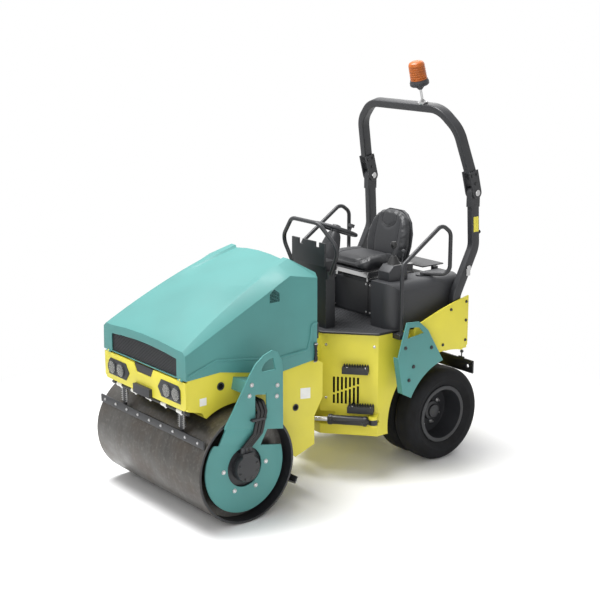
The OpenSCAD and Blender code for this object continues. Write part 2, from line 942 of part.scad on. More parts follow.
module centre_joint() {
  low = clevis_z[0] + seat_gap;
  high = clevis_z[1] - seat_gap;
  color(dark) {
    translate([pivot_x, 0, low]) cylinder(r = knuckle_r, h = high - low);
    translate([pivot_x, 0, clevis_z[0] - clevis_t])
      cylinder(r = pin_r, h = clevis_z[1] - clevis_z[0] + 2 * clevis_t);
    rod_x([pivot_x, 0, swing_z], swing_r, frame_back_x + plate_t - pivot_x);
    translate([0, 0, arm_z]) linear_extrude(arm_plate_t) {
      translate(crank_eye) circle(r = crank_end_r);
      translate([pivot_x, 0]) rotate(crank_angle) translate([0, -crank_end_r])
        square([crank_r, 2 * crank_end_r]);
    }
  }
}

// Frame of the steering cylinder: x along it from its base pin
module at_ram() {
  translate([ram_base[0], ram_base[1], ram_z]) rotate([0, 0, ram_angle]) children();
}

module steer_barrel() {
  color(black) at_ram() difference() {
    union() {
      cylinder(r = lug_r, h = ram_eye_t);
      translate([0, -lug_r / 2, 0]) cube([barrel_start + cut, lug_r, ram_eye_t]);
      rod_x([barrel_start, 0, ram_eye_t / 2], barrel_r, barrel_l);
    }
    translate([0, 0, -cut]) cylinder(r = ram_pin_r + run_fit, h = ram_eye_t + 2 * cut);
    rod_x([barrel_start + lug_r, 0, ram_eye_t / 2], rod_r + run_fit, barrel_l);
  }
}

module steer_rod() {
  inside = barrel_l / 2;
  color(silver) at_ram() {
    rod_x([barrel_start + inside, 0, ram_eye_t / 2], rod_r, ram_length - barrel_start - inside);
    translate([ram_length, 0, 0]) cylinder(r = crank_end_r, h = ram_eye_t);
  }
}

// Angled front panel of the rear frame: its direction from the corner to the nose
panel_angle = atan2(nose_half - rear_half, nose_x - corner_x);

// Frame of the left panel: x along it from the corner, y outwards
module at_panel() {
  translate([corner_x, rear_half, 0]) rotate([0, 0, panel_angle]) children();
}

module ram_lugs() {
  base_gap = (ram_base - [corner_x, rear_half]) * [-sin(panel_angle), cos(panel_angle)];
  for (z = [ram_z - seat_gap - lug_t, ram_z + ram_eye_t + seat_gap])
    translate([ram_base[0], ram_base[1], z]) linear_extrude(lug_t) {
      circle(r = lug_r);
      rotate(panel_angle - 90) translate([0, -lug_r]) square([base_gap + lug_t, 2 * lug_r]);
    }
  translate([ram_base[0], ram_base[1], ram_z - seat_gap - lug_t])
    cylinder(r = ram_pin_r, h = ram_eye_t + 2 * (seat_gap + lug_t));
}

module rear_frame() {
  half = [
    [nose_x, nose_half], [corner_x, rear_half], [waist_x, rear_half],
    [waist_x, deck_half], [-rear_back, deck_half]
  ];
  plan = concat(half, [for (i = [len(half) - 1 : -1 : 0]) [half[i][0], -half[i][1]]]);
  color(yellow) difference() {
    union() {
      difference() {
        translate([0, 0, rear_low]) linear_extrude(deck_z - rear_low) polygon(plan);
        both_sides() {
          rod_y([axle_x, well_y, axle_z], tyre_r + well_gap, deck_half);
          block([-rear_back - cut, well_y, rear_low - cut], [well_box_x, deck_half + cut, well_top]);
        }
        block([pocket_x, -pocket_half, rear_low - cut], [-nose_x, pocket_half, pocket_top]);
        block([nose_slot_x, 0, nose_slot_z[0]], [-nose_x, deck_half, nose_slot_z[1]]);
        both_sides() louvres();
      }
      for (z = [clevis_z[0] - clevis_t, clevis_z[1]]) {
        translate([pivot_x, 0, z]) cylinder(r = clevis_half, h = clevis_t);
        block([nose_slot_x - cut, -clevis_half, z], [pivot_x, clevis_half, z + clevis_t]);
      }
      ram_lugs();
    }
    translate([pivot_x, 0, rear_low]) cylinder(r = pin_r + run_fit, h = pocket_top - rear_low);
  }
}

// Two rows of upright slots, parted along a slant
module louvres() {
  at_panel() for (i = [0 : slot_columns - 1]) {
    x = slot_from_corner + i * slot_pitch;
    split = slot_split[0] + (slot_split[1] - slot_split[0]) * i / (slot_columns - 1);
    block([x, -slot_deep, slot_low], [x + slot_w, slot_deep, split - slot_bridge / 2]);
    block([x, -slot_deep, split + slot_bridge / 2], [x + slot_w, slot_deep, slot_high]);
  }
}

module step_treads() {
  color(black) both_sides() at_panel() for (i = [0, 1])
    translate([step_along[i], 0, step_z[i]]) {
      cube([step_w, step_deep, step_t]);
      cube([step_w, step_t, step_rise]);
      translate([0, step_deep - step_t, 0]) cube([step_w, step_t, step_rise]);
    }
}

module fenders() {
  top = [for (i = [0 : arch_steps]) let (u = i / arch_steps) [
    fender_foot_x + u * (-rear_back - fender_foot_x),
    fender_curve_z + (fender_top_z - fender_curve_z) * (u + fender_bow_share * u * (1 - u))
  ]];
  color(yellow) both_sides() difference() {
    plate_xz(
      concat(
        top, [[-rear_back, fender_low_z], fender_notch, fender_front],
        [[fender_foot_x, fender_front[1] - fender_drop]]
      ),
      deck_half, fender_t
    );
    rod_y([axle_x, deck_half - cut, axle_z], tyre_r + well_gap, fender_t + 2 * cut);
  }
}

module tyre_guards() {
  outline = concat(
    [[guard_top_x[0], guard_top_z], [guard_top_x[1], guard_top_z - guard_t], guard_shoulder, guard_rear],
    [[axle_x, axle_z]], guard_tip, [guard_front]
  );
  flange = [guard_tip[1], guard_front, guard_front - [guard_t, 0], guard_tip[1] - [guard_t, 0]];
  color(teal) both_sides() difference() {
    union() {
      plate_xz(outline, guard_y, guard_t);
      plate_xz(flange, guard_y - guard_flange_w, guard_flange_w);
      block(
        [guard_bracket_x[0], rear_half, guard_bracket_z[0]],
        [guard_bracket_x[1], guard_y, guard_bracket_z[1]]
      );
    }
    rod_y([axle_x, guard_y - cut, axle_z], tyre_r + guard_arc_gap, guard_t + 2 * cut);
    plate_xz(guard_hole, guard_y - cut, guard_t + 2 * cut);
  }
}

module rear_axle() {
  color(dark) both_sides() {
    rod_y([axle_x, well_y, axle_z], axle_flange_r, axle_flange_t);
    rod_y([axle_x, well_y + axle_flange_t, axle_z], spindle_r, hub_out - well_y - axle_flange_t);
  }
}

// Places of the twin tyres across the machine
outer_in = track_half - tyre_w;
inner_in = outer_in - twin_gap - tyre_w;
hub_mid = outer_in - twin_gap / 2;
hub_out = hub_mid + hub_cap;
lip_in = bead_in - seat_gap - lip_t;

// One pair of rims on a shared barrel, on the left
module twin_rim() {
  bore = spindle_r + run_fit;
  translate([axle_x, 0, axle_z]) rotate([-90, 0, 0]) rotate_extrude() {
    translate([rim_r - barrel_t, inner_in + lip_in]) square([barrel_t, track_half - inner_in - 2 * lip_in]);
    for (y = [inner_in, outer_in], e = [lip_in, tyre_w - lip_in - lip_t])
      translate([rim_r - barrel_t, y + e]) square([barrel_t + lip_h, lip_t]);
    translate([bore, hub_mid - wheel_web_t / 2]) square([rim_r - bore - barrel_t / 2, wheel_web_t]);
    translate([bore, hub_mid - hub_cap]) square([wheel_hub_r - bore, 2 * hub_cap]);
  }
}

// One pair of tyres, on the left: sloping sidewalls and round shoulders
module twin_tyres() {
  bead = rim_r + seat_gap;
  belly = bead + belly_up;
  side = [[bead, bead_in], [bead + bead_h, bead_in], [belly, 0]];
  section = concat(side, [for (i = [len(side) - 1 : -1 : 0]) [side[i][0], tyre_w - side[i][1]]]);
  translate([axle_x, 0, axle_z]) rotate([-90, 0, 0]) rotate_extrude() for (y = [inner_in, outer_in])
    translate([0, y]) {
      polygon(section);
      translate([belly, 0]) square([tyre_r - belly - shoulder_r, tyre_w]);
      translate([belly, shoulder_r]) square([tyre_r - belly, tyre_w - 2 * shoulder_r]);
      for (e = [shoulder_r, tyre_w - shoulder_r])
        translate([tyre_r - shoulder_r, e]) circle(r = shoulder_r);
    }
}

module rim_left() {
  color(black) twin_rim();
}

module rim_right() {
  color(black) mirror([0, 1, 0]) twin_rim();
}

module tyre_left() {
  color(dark) twin_tyres();
}

module tyre_right() {
  color(dark) mirror([0, 1, 0]) twin_tyres();
}

module platform_floor() {
  half = [[floor_nose_x, floor_nose_half], [corner_x, floor_side], [-rear_back, floor_side]];
  plan = concat(half, [for (i = [len(half) - 1 : -1 : 0]) [half[i][0], -half[i][1]]]);
  color(dark) translate([0, 0, deck_z]) linear_extrude(floor_t) polygon(plan);
}

module seat_console() {
  color(black)
    block([console_x[0], -console_half, deck_z + floor_t], [console_x[1], console_half, console_z]);
}

// Rounded cover beside the seat console
module side_fairings() {
  low = deck_z + floor_t;
  w = fairing_out - fairing_in;
  color(black) both_sides() intersection() {
    translate([fairing_x[0], 0, 0]) rotate([90, 0, 90]) linear_extrude(fairing_x[1] - fairing_x[0]) {
      translate([fairing_in, low]) square([w - fairing_round, fairing_top - low]);
      translate([fairing_in, low]) square([w, fairing_top - low - fairing_round]);
      translate([fairing_out - fairing_round, fairing_top - fairing_round]) circle(r = fairing_round);
    }
    translate([0, 0, low]) linear_extrude(fairing_top - low) {
      translate([fairing_x[0], fairing_in]) square([fairing_x[1] - fairing_x[0] - fairing_nose, w]);
      translate([fairing_x[0], fairing_in]) square([fairing_x[1] - fairing_x[0], w - fairing_nose]);
      translate([fairing_x[1] - fairing_nose, fairing_out - fairing_nose]) circle(r = fairing_nose);
    }
  }
}

module seat_base() {
  color(silver) {
    for (s = [-1, 1])
      block(
        [rail_base_x[0], s * rail_base_half - rail_base_t / 2, console_z],
        [rail_base_x[1], s * rail_base_half + rail_base_t / 2, console_z + rail_base_t]
      );
    block(
      [rail_base_x[0], -rail_base_half, console_z + rail_base_t],
      [rail_base_x[1], rail_base_half, cushion_z[0] - seat_gap]
    );
  }
}

module seat_cushion() {
  w = cushion_half - cushion_round;
  color(black) translate([0, 0, cushion_z[0]]) linear_extrude(cushion_z[1] - cushion_z[0]) {
    translate([cushion_x[0], -cushion_half])
      square([cushion_x[1] - cushion_x[0] - cushion_round, 2 * cushion_half]);
    translate([cushion_x[0], -w]) square([cushion_x[1] - cushion_x[0], 2 * w]);
    for (s = [-1, 1]) translate([cushion_x[1] - cushion_round, s * w]) circle(r = cushion_round);
  }
}

module seat_back() {
  w = back_half - back_round;
  color(black) difference() {
    translate([back_foot[0], 0, back_foot[1]]) rotate([0, -back_lean, 0])
      translate([-back_t, 0, 0]) rotate([90, 0, 90]) linear_extrude(back_t) {
        translate([-back_half, 0]) square([2 * back_half, back_h - back_round]);
        translate([-w, 0]) square([2 * w, back_h]);
        for (s = [-1, 1]) translate([s * w, back_h - back_round]) circle(r = back_round);
      }
    block(
      [back_foot[0] - 2 * back_t, -back_half - cut, console_z],
      [cushion_x[1], back_half + cut, cushion_z[0]]
    );
  }
}

module lever_console() {
  top = lever_box_z;
  color(black) {
    plate_xz(
      [
        [lever_box_x[0], fairing_top], [lever_box_x[1], fairing_top], [lever_box_x[1], top - lever_box_slope],
        [lever_box_x[1] - lever_box_slope, top], [lever_box_x[0], top]
      ],
      lever_box_y, lever_box_w
    );
    translate([lever_x, lever_box_y + lever_box_w / 2, top]) {
      cylinder(r1 = boot_r[0], r2 = boot_r[1], h = boot_h);
      cylinder(r = lever_r, h = lever_h);
      translate([0, 0, lever_h]) sphere(r = knob_r);
    }
  }
}

// Frame of the steering wheel: z along its shaft, away from the dash
module at_wheel() {
  translate(wheel_pos) rotate([0, -wheel_tilt, 0]) children();
}

module dash_column() {
  low = deck_z + floor_t;
  top = guard_plate_high;
  notch = top - guard_notch_h;
  left = guard_notch_y[1];
  right = guard_notch_y[0];
  outline = [
    [dash_half, guard_plate_low], [dash_half, top],
    [left + guard_notch_w, top], [left + guard_notch_w, notch], [left, notch], [left, top],
    [right, top], [right, notch], [right - guard_notch_w, notch], [right - guard_notch_w, top],
    [-dash_half, top], [-dash_half, guard_plate_low]
  ];
  color(black) difference() {
    union() {
      block([dash_x[0], -dash_half, low], [dash_x[1], dash_half, dash_z]);
      plate_yz(outline, dash_x[1], guard_plate_t);
      at_wheel() translate([0, 0, -column_l])
        cylinder(r = column_r, h = column_l - wheel_hub_h / 2 - seat_gap);
    }
    at_wheel() translate([0, 0, -column_l]) cylinder(r = wheel_shaft_r + run_fit, h = column_l);
  }
}

module steering_wheel() {
  color(black) at_wheel() {
    rotate_extrude() translate([steer_wheel_r - wheel_tube_r, 0]) circle(r = wheel_tube_r);
    translate([0, 0, -wheel_hub_h / 2]) cylinder(r = wheel_hub, h = wheel_hub_h);
    for (i = [0 : spoke_count - 1]) rotate([0, 0, i * 2 * half_turn / spoke_count])
      rod_x([0, 0, 0], spoke_r, steer_wheel_r - wheel_tube_r);
    translate([0, 0, -column_l / 2]) cylinder(r = wheel_shaft_r, h = column_l / 2);
    translate([0, steer_wheel_r - wheel_tube_r, 0]) cylinder(r = spoke_r, h = knob_post);
    translate([0, steer_wheel_r - wheel_tube_r, knob_post]) cylinder(r = knob_r, h = knob_r);
  }
}

module front_rail() {
  half = [loop_low, loop_side, loop_top];
  path = concat(half, [for (i = [2 : -1 : 0]) [half[i][0], -half[i][1], half[i][2]]]);
  color(black) {
    tube(rounded(path, loop_bend, bend_steps), rail_r, [1, 0, 0]);
    both_sides()
      translate([loop_low[0] - loop_pad[0] / 2, dash_half, loop_low[2] - loop_pad[2] / 2]) cube(loop_pad);
  }
}

module side_rails() {
  path = [
    [rail_front_x, rail_y, deck_z - rail_pad_t / 2], [rail_front_x, rail_y, rail_knee_z],
    [rail_top[0], rail_y, rail_top[1]], [rail_rear_x, rail_y, rail_top[1] - rail_bend],
    [rail_rear_x, rail_y, rail_low_z], [rail_in[0], rail_in[1], rail_low_z]
  ];
  color(black) both_sides() {
    tube(rounded(path, rail_bend, bend_steps), rail_r, [0, 1, 0]);
    block(
      [rail_front_x - rail_pad / 2, rear_half, deck_z - rail_pad_t],
      [rail_front_x + rail_pad / 2, rail_y + 2 * rail_r, deck_z]
    );
  }
}

// Section of the roll hoop's tube, wide across the machine and deep along it
function hoop_section(wide) = [
  [hoop_deep / 2, wide / 2], [-hoop_deep / 2, wide / 2],
  [-hoop_deep / 2, -wide / 2], [hoop_deep / 2, -wide / 2]
];

module rops_posts() {
  top = hoop_hinge_z - post_top_gap;
  path = [
    [post_foot[0], hoop_half, deck_z], [post_foot[0], hoop_half, post_foot[1]],
    [post_knee[0], hoop_half, post_knee[1]], [-hoop_back, hoop_half, top]
  ];
  tongue = hoop_wide - 2 * ear_gap;
  color(black) both_sides() {
    sweep(rounded(path, post_bend, bend_steps), hoop_section(hoop_wide), [1, 0, 0]);
    rod_y([-hoop_back, hoop_half - tongue / 2, hoop_hinge_z], ear_r, tongue);
    block(
      [-hoop_back - ear_r, hoop_half - tongue / 2, top - tongue / 2],
      [-hoop_back + ear_r, hoop_half + tongue / 2, hoop_hinge_z]
    );
    rod_y(
      [-hoop_back, hoop_half - hoop_wide / 2 - ear_gap - ear_t, hoop_hinge_z],
      hinge_pin_r, hoop_wide + 2 * (ear_gap + ear_t)
    );
  }
}

// Frame of the folding part: its hinge line, with z along its lean
module at_hoop() {
  translate([-hoop_back, 0, hoop_hinge_z]) rotate([0, hoop_lean, 0]) children();
}

// Plate of the folding part beside a post, on its hinge pin
module hoop_ear(y) {
  difference() {
    union() {
      rod_y([0, y, 0], ear_r, ear_t);
      block([-ear_r, y, 0], [ear_r, y + ear_t, ear_l + ear_lap]);
    }
    rod_y([0, y - cut, 0], hinge_pin_r + run_fit, ear_t + 2 * cut);
  }
}

module rops_hoop() {
  shoulder = [0, hoop_shoulder_y, hoop_len * hoop_shoulder_share];
  top = [0, hoop_shoulder_y - hoop_len * (1 - hoop_shoulder_share), hoop_len];
  half = [[0, hoop_half, ear_l], [0, hoop_half, ear_l + ear_lap], shoulder, top];
  path = concat(half, [for (i = [len(half) - 1 : -1 : 0]) [half[i][0], -half[i][1], half[i][2]]]);
  reach = hoop_wide / 2 + ear_gap;
  color(black) at_hoop() {
    sweep(rounded(path, hoop_bend, bend_steps), hoop_section(2 * reach), [1, 0, 0]);
    both_sides() {
      hoop_ear(hoop_half + reach);
      hoop_ear(hoop_half - reach - ear_t);
      block(
        [-hoop_deep / 2, hoop_half - reach, ear_l],
        [hoop_deep / 2, hoop_half + reach, ear_l + ear_lap]
      );
    }
  }
}

// Frame of the beacon's foot on the top bar
module at_beacon() {
  at_hoop() translate([0, beacon_y, hoop_len + hoop_wide / 2 + ear_gap + seat_gap]) children();
}

module beacon_stalk() {
  color(silver) at_beacon() {
    cylinder(r = beacon_foot[0], h = beacon_foot[1]);
    cylinder(r = stalk_r, h = stalk_h);
  }
}

module beacon() {
  color("orange") at_beacon() {
    translate([0, 0, stalk_h]) cylinder(r1 = neck_r[0], r2 = neck_r[1], h = neck_h);
    translate([0, 0, stalk_h + neck_h]) cylinder(r = beacon_base_r, h = beacon_base_h);
    translate([0, 0, stalk_h + neck_h + beacon_base_h]) rotate_extrude() {
      square([beacon_r, beacon_h - beacon_round]);
      square([beacon_r - beacon_round, beacon_h]);
      translate([beacon_r - beacon_round, beacon_h - beacon_round]) circle(r = beacon_round);
    }
  }
}

module rear_shelf() {
  color(dark) {
    block([shelf_x[0], -shelf_half, shelf_z], [shelf_x[1], shelf_half, shelf_z + shelf_t]);
    for (s = [-1, 1])
      block(
        [console_x[0], s * shelf_half - shelf_leg / 2, console_z],
        [console_x[0] + shelf_leg, s * shelf_half + shelf_leg / 2, shelf_z]
      );
  }
}

module rear_bar() {
  mid_z = (bar_z[0] + bar_z[1]) / 2;
  color(black) {
    difference() {
      block([bar_x - bar_t, -bar_half, bar_z[0]], [bar_x, bar_half, bar_z[1]]);
      for (s = [-1, 1])
        rod_x([bar_x - bar_t - cut, s * (bar_half - bar_hole_in), mid_z], bar_hole_r, bar_t + 2 * cut);
    }
    for (s = [-1, 1])
      block([bar_x, s * well_y / 2 - arm_w, bar_z[0]], [-rear_back, s * well_y / 2 + arm_w, bar_z[1]]);
    difference() {
      translate([0, 0, tow_z]) linear_extrude(tow_t) {
        translate([-tow_back + tow_w / 2, 0]) circle(r = tow_w / 2);
        translate([-tow_back + tow_w / 2, -tow_w / 2]) square([tow_back - rear_back - tow_w / 2, tow_w]);
      }
      translate([-tow_back + tow_w / 2, 0, tow_z - cut]) cylinder(r = tow_hole_r, h = tow_t + 2 * cut);
    }
  }
}

module link_hoses() {
  color(black) for (i = [0, 1]) {
    start = [nose_x + seat_gap, pocket_half + (i + 1) * link_pitch, clevis_z[1]];
    path = [
      start, start + [link_out, 0, 0], start + [link_out, 0, -link_drop], start + [0, 0, -link_drop]
    ];
    tube(rounded(path, 2 * link_hose_r, bend_steps), link_hose_r, [0, 0, 1]);
  }
}

front_frame();
bumper();
lamp_pods();
headlamps();
engine_block();
drum_yokes();
drum_motors();
drum_hoses();
front_scraper();
rear_scraper();
spray_bar();
hood();
grille();
hood_latches();
drum();
centre_joint();
steer_barrel();
steer_rod();
rear_frame();
step_treads();
fenders();
tyre_guards();
rear_axle();
platform_floor();
seat_console();
side_fairings();
seat_base();
seat_cushion();
seat_back();
lever_console();
dash_column();
front_rail();
side_rails();
rops_posts();
rear_shelf();
rear_bar();
link_hoses();
steering_wheel();
rim_left();
tyre_left();
rim_right();
tyre_right();
rops_hoop();
beacon_stalk();
beacon();
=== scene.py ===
"""Looks of an articulated combination road roller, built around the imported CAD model."""
import json
import math

import bmesh
import bpy
from mathutils import Matrix, Vector
from mathutils.bvhtree import BVHTree

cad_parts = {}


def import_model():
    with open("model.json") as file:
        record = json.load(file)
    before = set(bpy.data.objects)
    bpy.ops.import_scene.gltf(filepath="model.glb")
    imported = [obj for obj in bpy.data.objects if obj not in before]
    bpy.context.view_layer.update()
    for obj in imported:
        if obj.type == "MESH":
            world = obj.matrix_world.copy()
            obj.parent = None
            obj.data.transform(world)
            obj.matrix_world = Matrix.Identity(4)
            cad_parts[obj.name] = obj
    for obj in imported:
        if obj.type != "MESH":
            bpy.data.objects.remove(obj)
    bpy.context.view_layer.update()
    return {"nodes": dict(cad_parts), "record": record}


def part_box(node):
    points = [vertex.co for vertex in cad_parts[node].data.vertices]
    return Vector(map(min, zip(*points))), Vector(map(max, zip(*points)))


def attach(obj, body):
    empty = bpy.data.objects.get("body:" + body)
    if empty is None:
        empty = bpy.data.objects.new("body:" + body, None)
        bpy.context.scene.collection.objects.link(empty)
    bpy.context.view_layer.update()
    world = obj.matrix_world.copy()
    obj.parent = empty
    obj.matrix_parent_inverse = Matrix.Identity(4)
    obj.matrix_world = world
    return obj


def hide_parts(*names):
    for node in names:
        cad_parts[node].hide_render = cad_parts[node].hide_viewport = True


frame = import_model()


# Colours, as linear values of what the paint shows in even light
def linear(red, green, blue):
    """Linear colour of an sRGB triple from 0 to 255."""
    def channel(value):
        value /= 255
        return value / 12.92 if value <= 0.04045 else ((value + 0.055) / 1.055) ** 2.4
    return (channel(red), channel(green), channel(blue), 1)


TEAL = linear(78, 137, 134)
YELLOW = linear(216, 205, 66)
BLACK = linear(36, 37, 40)
DARK = linear(56, 57, 60)
PLASTIC = linear(44, 45, 48)
RUBBER = linear(23, 23, 24)
DRUM = linear(84, 82, 79)
RUST = linear(88, 74, 62)
SILVER = linear(186, 186, 186)
BARE = linear(120, 118, 112)
ORANGE = linear(168, 84, 6)
WHITE = linear(225, 225, 222)
# Near black of the plug caps, and of the dark sheets of painted shade behind the grille, the vents and the
# louvres
INK_AND_PAINTED_SHADE = linear(14, 14, 15)
PURE_WHITE = (1, 1, 1, 1)


# Materials
def shaded(colour, factor):
    """The colour made darker or lighter by a factor."""
    return tuple(min(1, c * factor) for c in colour[:3]) + (1,)


class Finish:
    """A node material under construction: its shader, links and the object's own coordinates."""

    def __init__(self, name):
        self.material = bpy.data.materials.new(name)
        self.material.use_nodes = True
        self.nodes = self.material.node_tree.nodes
        self.links = self.material.node_tree.links
        self.shader = self.nodes["Principled BSDF"]
        self.coords = self.nodes.new("ShaderNodeTexCoord").outputs["Object"]

    def set(self, **values):
        for name, value in values.items():
            self.shader.inputs[name.replace("_", " ")].default_value = value

    def scaled(self, scale):
        """The coordinates stretched along each axis."""
        node = self.nodes.new("ShaderNodeMapping")
        node.inputs["Scale"].default_value = scale
        self.links.new(self.coords, node.inputs["Vector"])
        return node.outputs["Vector"]

    def vector(self, operation, *values):
        """A vector sum, product or length of sockets and plain triples."""
        node = self.nodes.new("ShaderNodeVectorMath")
        node.operation = operation
        for socket, value in zip(node.inputs, values):
            if isinstance(value, tuple):
                socket.default_value = value
            else:
                self.links.new(value, socket)
        return node.outputs["Value" if operation in ("LENGTH", "DOT_PRODUCT") else "Vector"]

    def noise(self, scale, detail=3, vector=None):
        node = self.nodes.new("ShaderNodeTexNoise")
        node.inputs["Scale"].default_value = scale
        node.inputs["Detail"].default_value = detail
        self.links.new(vector or self.coords, node.inputs["Vector"])
        return node.outputs["Fac"]

    def maths(self, operation, first, second=0.0):
        node = self.nodes.new("ShaderNodeMath")
        node.operation = operation
        for socket, value in zip(node.inputs, (first, second)):
            if isinstance(value, (int, float)):
                socket.default_value = value
            else:
                self.links.new(value, socket)
        return node.outputs["Value"]

    def spread(self, factor, low, high, start=0.3, stop=0.7):
        """The factor's range from start to stop, taken to low to high."""
        node = self.nodes.new("ShaderNodeMapRange")
        ends = {"From Min": start, "From Max": stop, "To Min": low, "To Max": high}
        for name, value in ends.items():
            node.inputs[name].default_value = value
        self.links.new(factor, node.inputs["Value"])
        return node.outputs["Result"]

    def ramp(self, factor, stops):
        node = self.nodes.new("ShaderNodeValToRGB")
        while len(node.color_ramp.elements) < len(stops):
            node.color_ramp.elements.new(0.5)
        for element, (position, colour) in zip(node.color_ramp.elements, stops):
            element.position = position
            element.color = colour
        self.links.new(factor, node.inputs["Fac"])
        return node.outputs["Color"]

    def mix(self, factor, first, second):
        node = self.nodes.new("ShaderNodeMix")
        node.data_type = "RGBA"
        self.links.new(factor, node.inputs["Factor"])
        sockets = [s for s in node.inputs if s.type == "RGBA"]
        for socket, value in zip(sockets, (first, second)):
            if isinstance(value, tuple):
                socket.default_value = value
            else:
                self.links.new(value, socket)
        return [s for s in node.outputs if s.type == "RGBA"][0]

    def edges(self, radius, worn=0.75, whole=0.98):
        """How close a point is to a sharp edge, from 0 to about 1."""
        bevel = self.nodes.new("ShaderNodeBevel")
        bevel.samples = 4
        bevel.inputs["Radius"].default_value = radius
        plain = self.nodes.new("ShaderNodeNewGeometry").outputs["Normal"]
        likeness = self.vector("DOT_PRODUCT", bevel.outputs["Normal"], plain)
        return self.spread(likeness, 1, 0, worn, whole)

    def relief(self, height, strength, distance=0.001):
        node = self.nodes.new("ShaderNodeBump")
        node.inputs["Strength"].default_value = strength
        node.inputs["Distance"].default_value = distance
        self.links.new(height, node.inputs["Height"])
        self.links.new(node.outputs["Normal"], self.shader.inputs["Normal"])

    def colour(self, socket):
        self.links.new(socket, self.shader.inputs["Base Color"])

    def roughness(self, socket):
        self.links.new(socket, self.shader.inputs["Roughness"])


def surface(name, colour, rough, contrast=0.06, patch=3.0, grain=220.0, relief=0.05, wear=None, **values):
    """A finish with patchy colour and gloss, a fine grain and, if asked, edges worn to a second colour."""
    wear_reach, wear_patch, most_wear = 0.004, 35, 0.8
    gloss_swing = 0.15
    finish = Finish(name)
    patches = finish.noise(patch, 5)
    stops = [(0.3, shaded(colour, 1 - contrast)), (0.7, shaded(colour, 1 + contrast))]
    tint = finish.ramp(patches, stops)
    if wear:
        chips = finish.spread(finish.noise(wear_patch, 4), 0, most_wear, 0.42, 0.7)
        rubbed = finish.maths("MULTIPLY", finish.edges(wear_reach), chips)
        tint = finish.mix(rubbed, tint, wear)
    finish.colour(tint)
    finish.roughness(finish.spread(patches, rough * (1 - gloss_swing), rough * (1 + gloss_swing)))
    finish.relief(finish.noise(grain, 2), relief)
    finish.set(**values)
    return finish.material


def drum_finish():
    """Worn steel with rolling streaks, brown stains and bright patches of painted highlight."""
    rust_share, highlight_share = 0.35, 0.4
    finish = Finish("drum_steel")
    streaks = finish.noise(1, 5, finish.scaled((3, 26, 3)))
    stains = finish.noise(6, 7)
    mottle = finish.noise(40, 4)
    tones = [(0.25, shaded(DRUM, 0.85)), (0.55, DRUM), (0.8, shaded(DRUM, 1.25))]
    steel = finish.mix(finish.spread(stains, 0, rust_share, 0.42, 0.72), finish.ramp(streaks, tones), RUST)
    # Bright patches of painted highlight, mottled over the steel
    highlight_patches = finish.spread(mottle, 0, highlight_share, 0.52, 0.75)
    finish.colour(finish.mix(highlight_patches, steel, shaded(DRUM, 2.1)))
    finish.roughness(finish.spread(stains, 0.3, 0.5))
    finish.relief(mottle, 0.1)
    finish.set(Metallic=0.75)
    return finish.material


AXLE = Vector((-0.957, 0, 0.374))


def tyre_finish():
    """Matt rubber with fine rings about the axle."""
    rings_per_metre, ring_height = 520, 0.3
    finish = Finish("tyre_rubber")
    from_axle = finish.vector("MULTIPLY_ADD", finish.coords, (1, 0, 1), tuple(-AXLE))
    turns = finish.maths("MULTIPLY", finish.vector("LENGTH", from_axle), rings_per_metre)
    rings = finish.maths("MULTIPLY", finish.maths("SINE", turns), ring_height)
    dust = finish.noise(9, 5)
    finish.colour(finish.ramp(dust, [(0.35, RUBBER), (0.8, shaded(DARK, 0.5))]))
    finish.roughness(finish.spread(dust, 0.55, 0.8))
    finish.relief(finish.maths("ADD", rings, finish.noise(160, 2)), 0.25)
    finish.set(Specular_IOR_Level=0.12)
    return finish.material


# One finish for each material slot of the record
MATERIALS = {
    "teal_paint": surface("teal_paint", TEAL, 0.52, relief=0.03, wear=shaded(TEAL, 1.35),
                          Specular_IOR_Level=0.35, Coat_Weight=0.06, Coat_Roughness=0.3),
    "yellow_paint": surface("yellow_paint", YELLOW, 0.46, relief=0.03, wear=shaded(YELLOW, 0.72),
                            Specular_IOR_Level=0.4, Coat_Weight=0.08, Coat_Roughness=0.3),
    "black_paint": surface("black_paint", BLACK, 0.42, contrast=0.15, relief=0.1, wear=BARE),
    "cast_dark": surface("cast_dark", DARK, 0.6, contrast=0.2, grain=90, relief=0.35, wear=BARE),
    "drum_steel": drum_finish(),
    "bright_steel": surface("bright_steel", SILVER, 0.28, contrast=0.12, Metallic=1.0),
    "hose_rubber": surface("hose_rubber", RUBBER, 0.5, contrast=0.15, relief=0.15),
    "tyre_rubber": tyre_finish(),
    "black_plastic": surface("black_plastic", PLASTIC, 0.5, contrast=0.1, grain=420, relief=0.22),
    "floor_grip": surface("floor_grip", BLACK, 0.72, contrast=0.15, relief=0.3),
    "seat_vinyl": surface("seat_vinyl", BLACK, 0.5, contrast=0.12, grain=320, relief=0.28),
    "beacon_orange": surface("beacon_orange", ORANGE, 0.42, contrast=0.1, patch=20, Coat_Weight=0.05),
    "lamp_glass": surface("lamp_glass", WHITE, 0.06, contrast=0.02, relief=0.02, Transmission_Weight=0.92),
}
# Finishes of small pieces, with the slot that each goes under
EXTRA = {
    "reflector": (surface("reflector", SILVER, 0.16, contrast=0.1, patch=60, Metallic=1.0), "bright_steel"),
    "blank_label": (surface("blank_label", WHITE, 0.4, contrast=0.04, patch=30), "black_plastic"),
    "yellow_label": (surface("yellow_label", YELLOW, 0.4, contrast=0.04, patch=30), "yellow_paint"),
    # Near black for the plug caps, and painted shade on the sheets behind the grille, the vents and the
    # louvres
    "ink_and_painted_shade": (surface("ink_and_painted_shade", INK_AND_PAINTED_SHADE, 0.7, contrast=0.2, patch=20, Specular_IOR_Level=0.1), "black_plastic"),
}


# Shapes
ALONG, ACROSS, UPWARD = Vector((1, 0, 0)), Vector((0, 1, 0)), Vector((0, 0, 1))
SIDES = (1, -1)


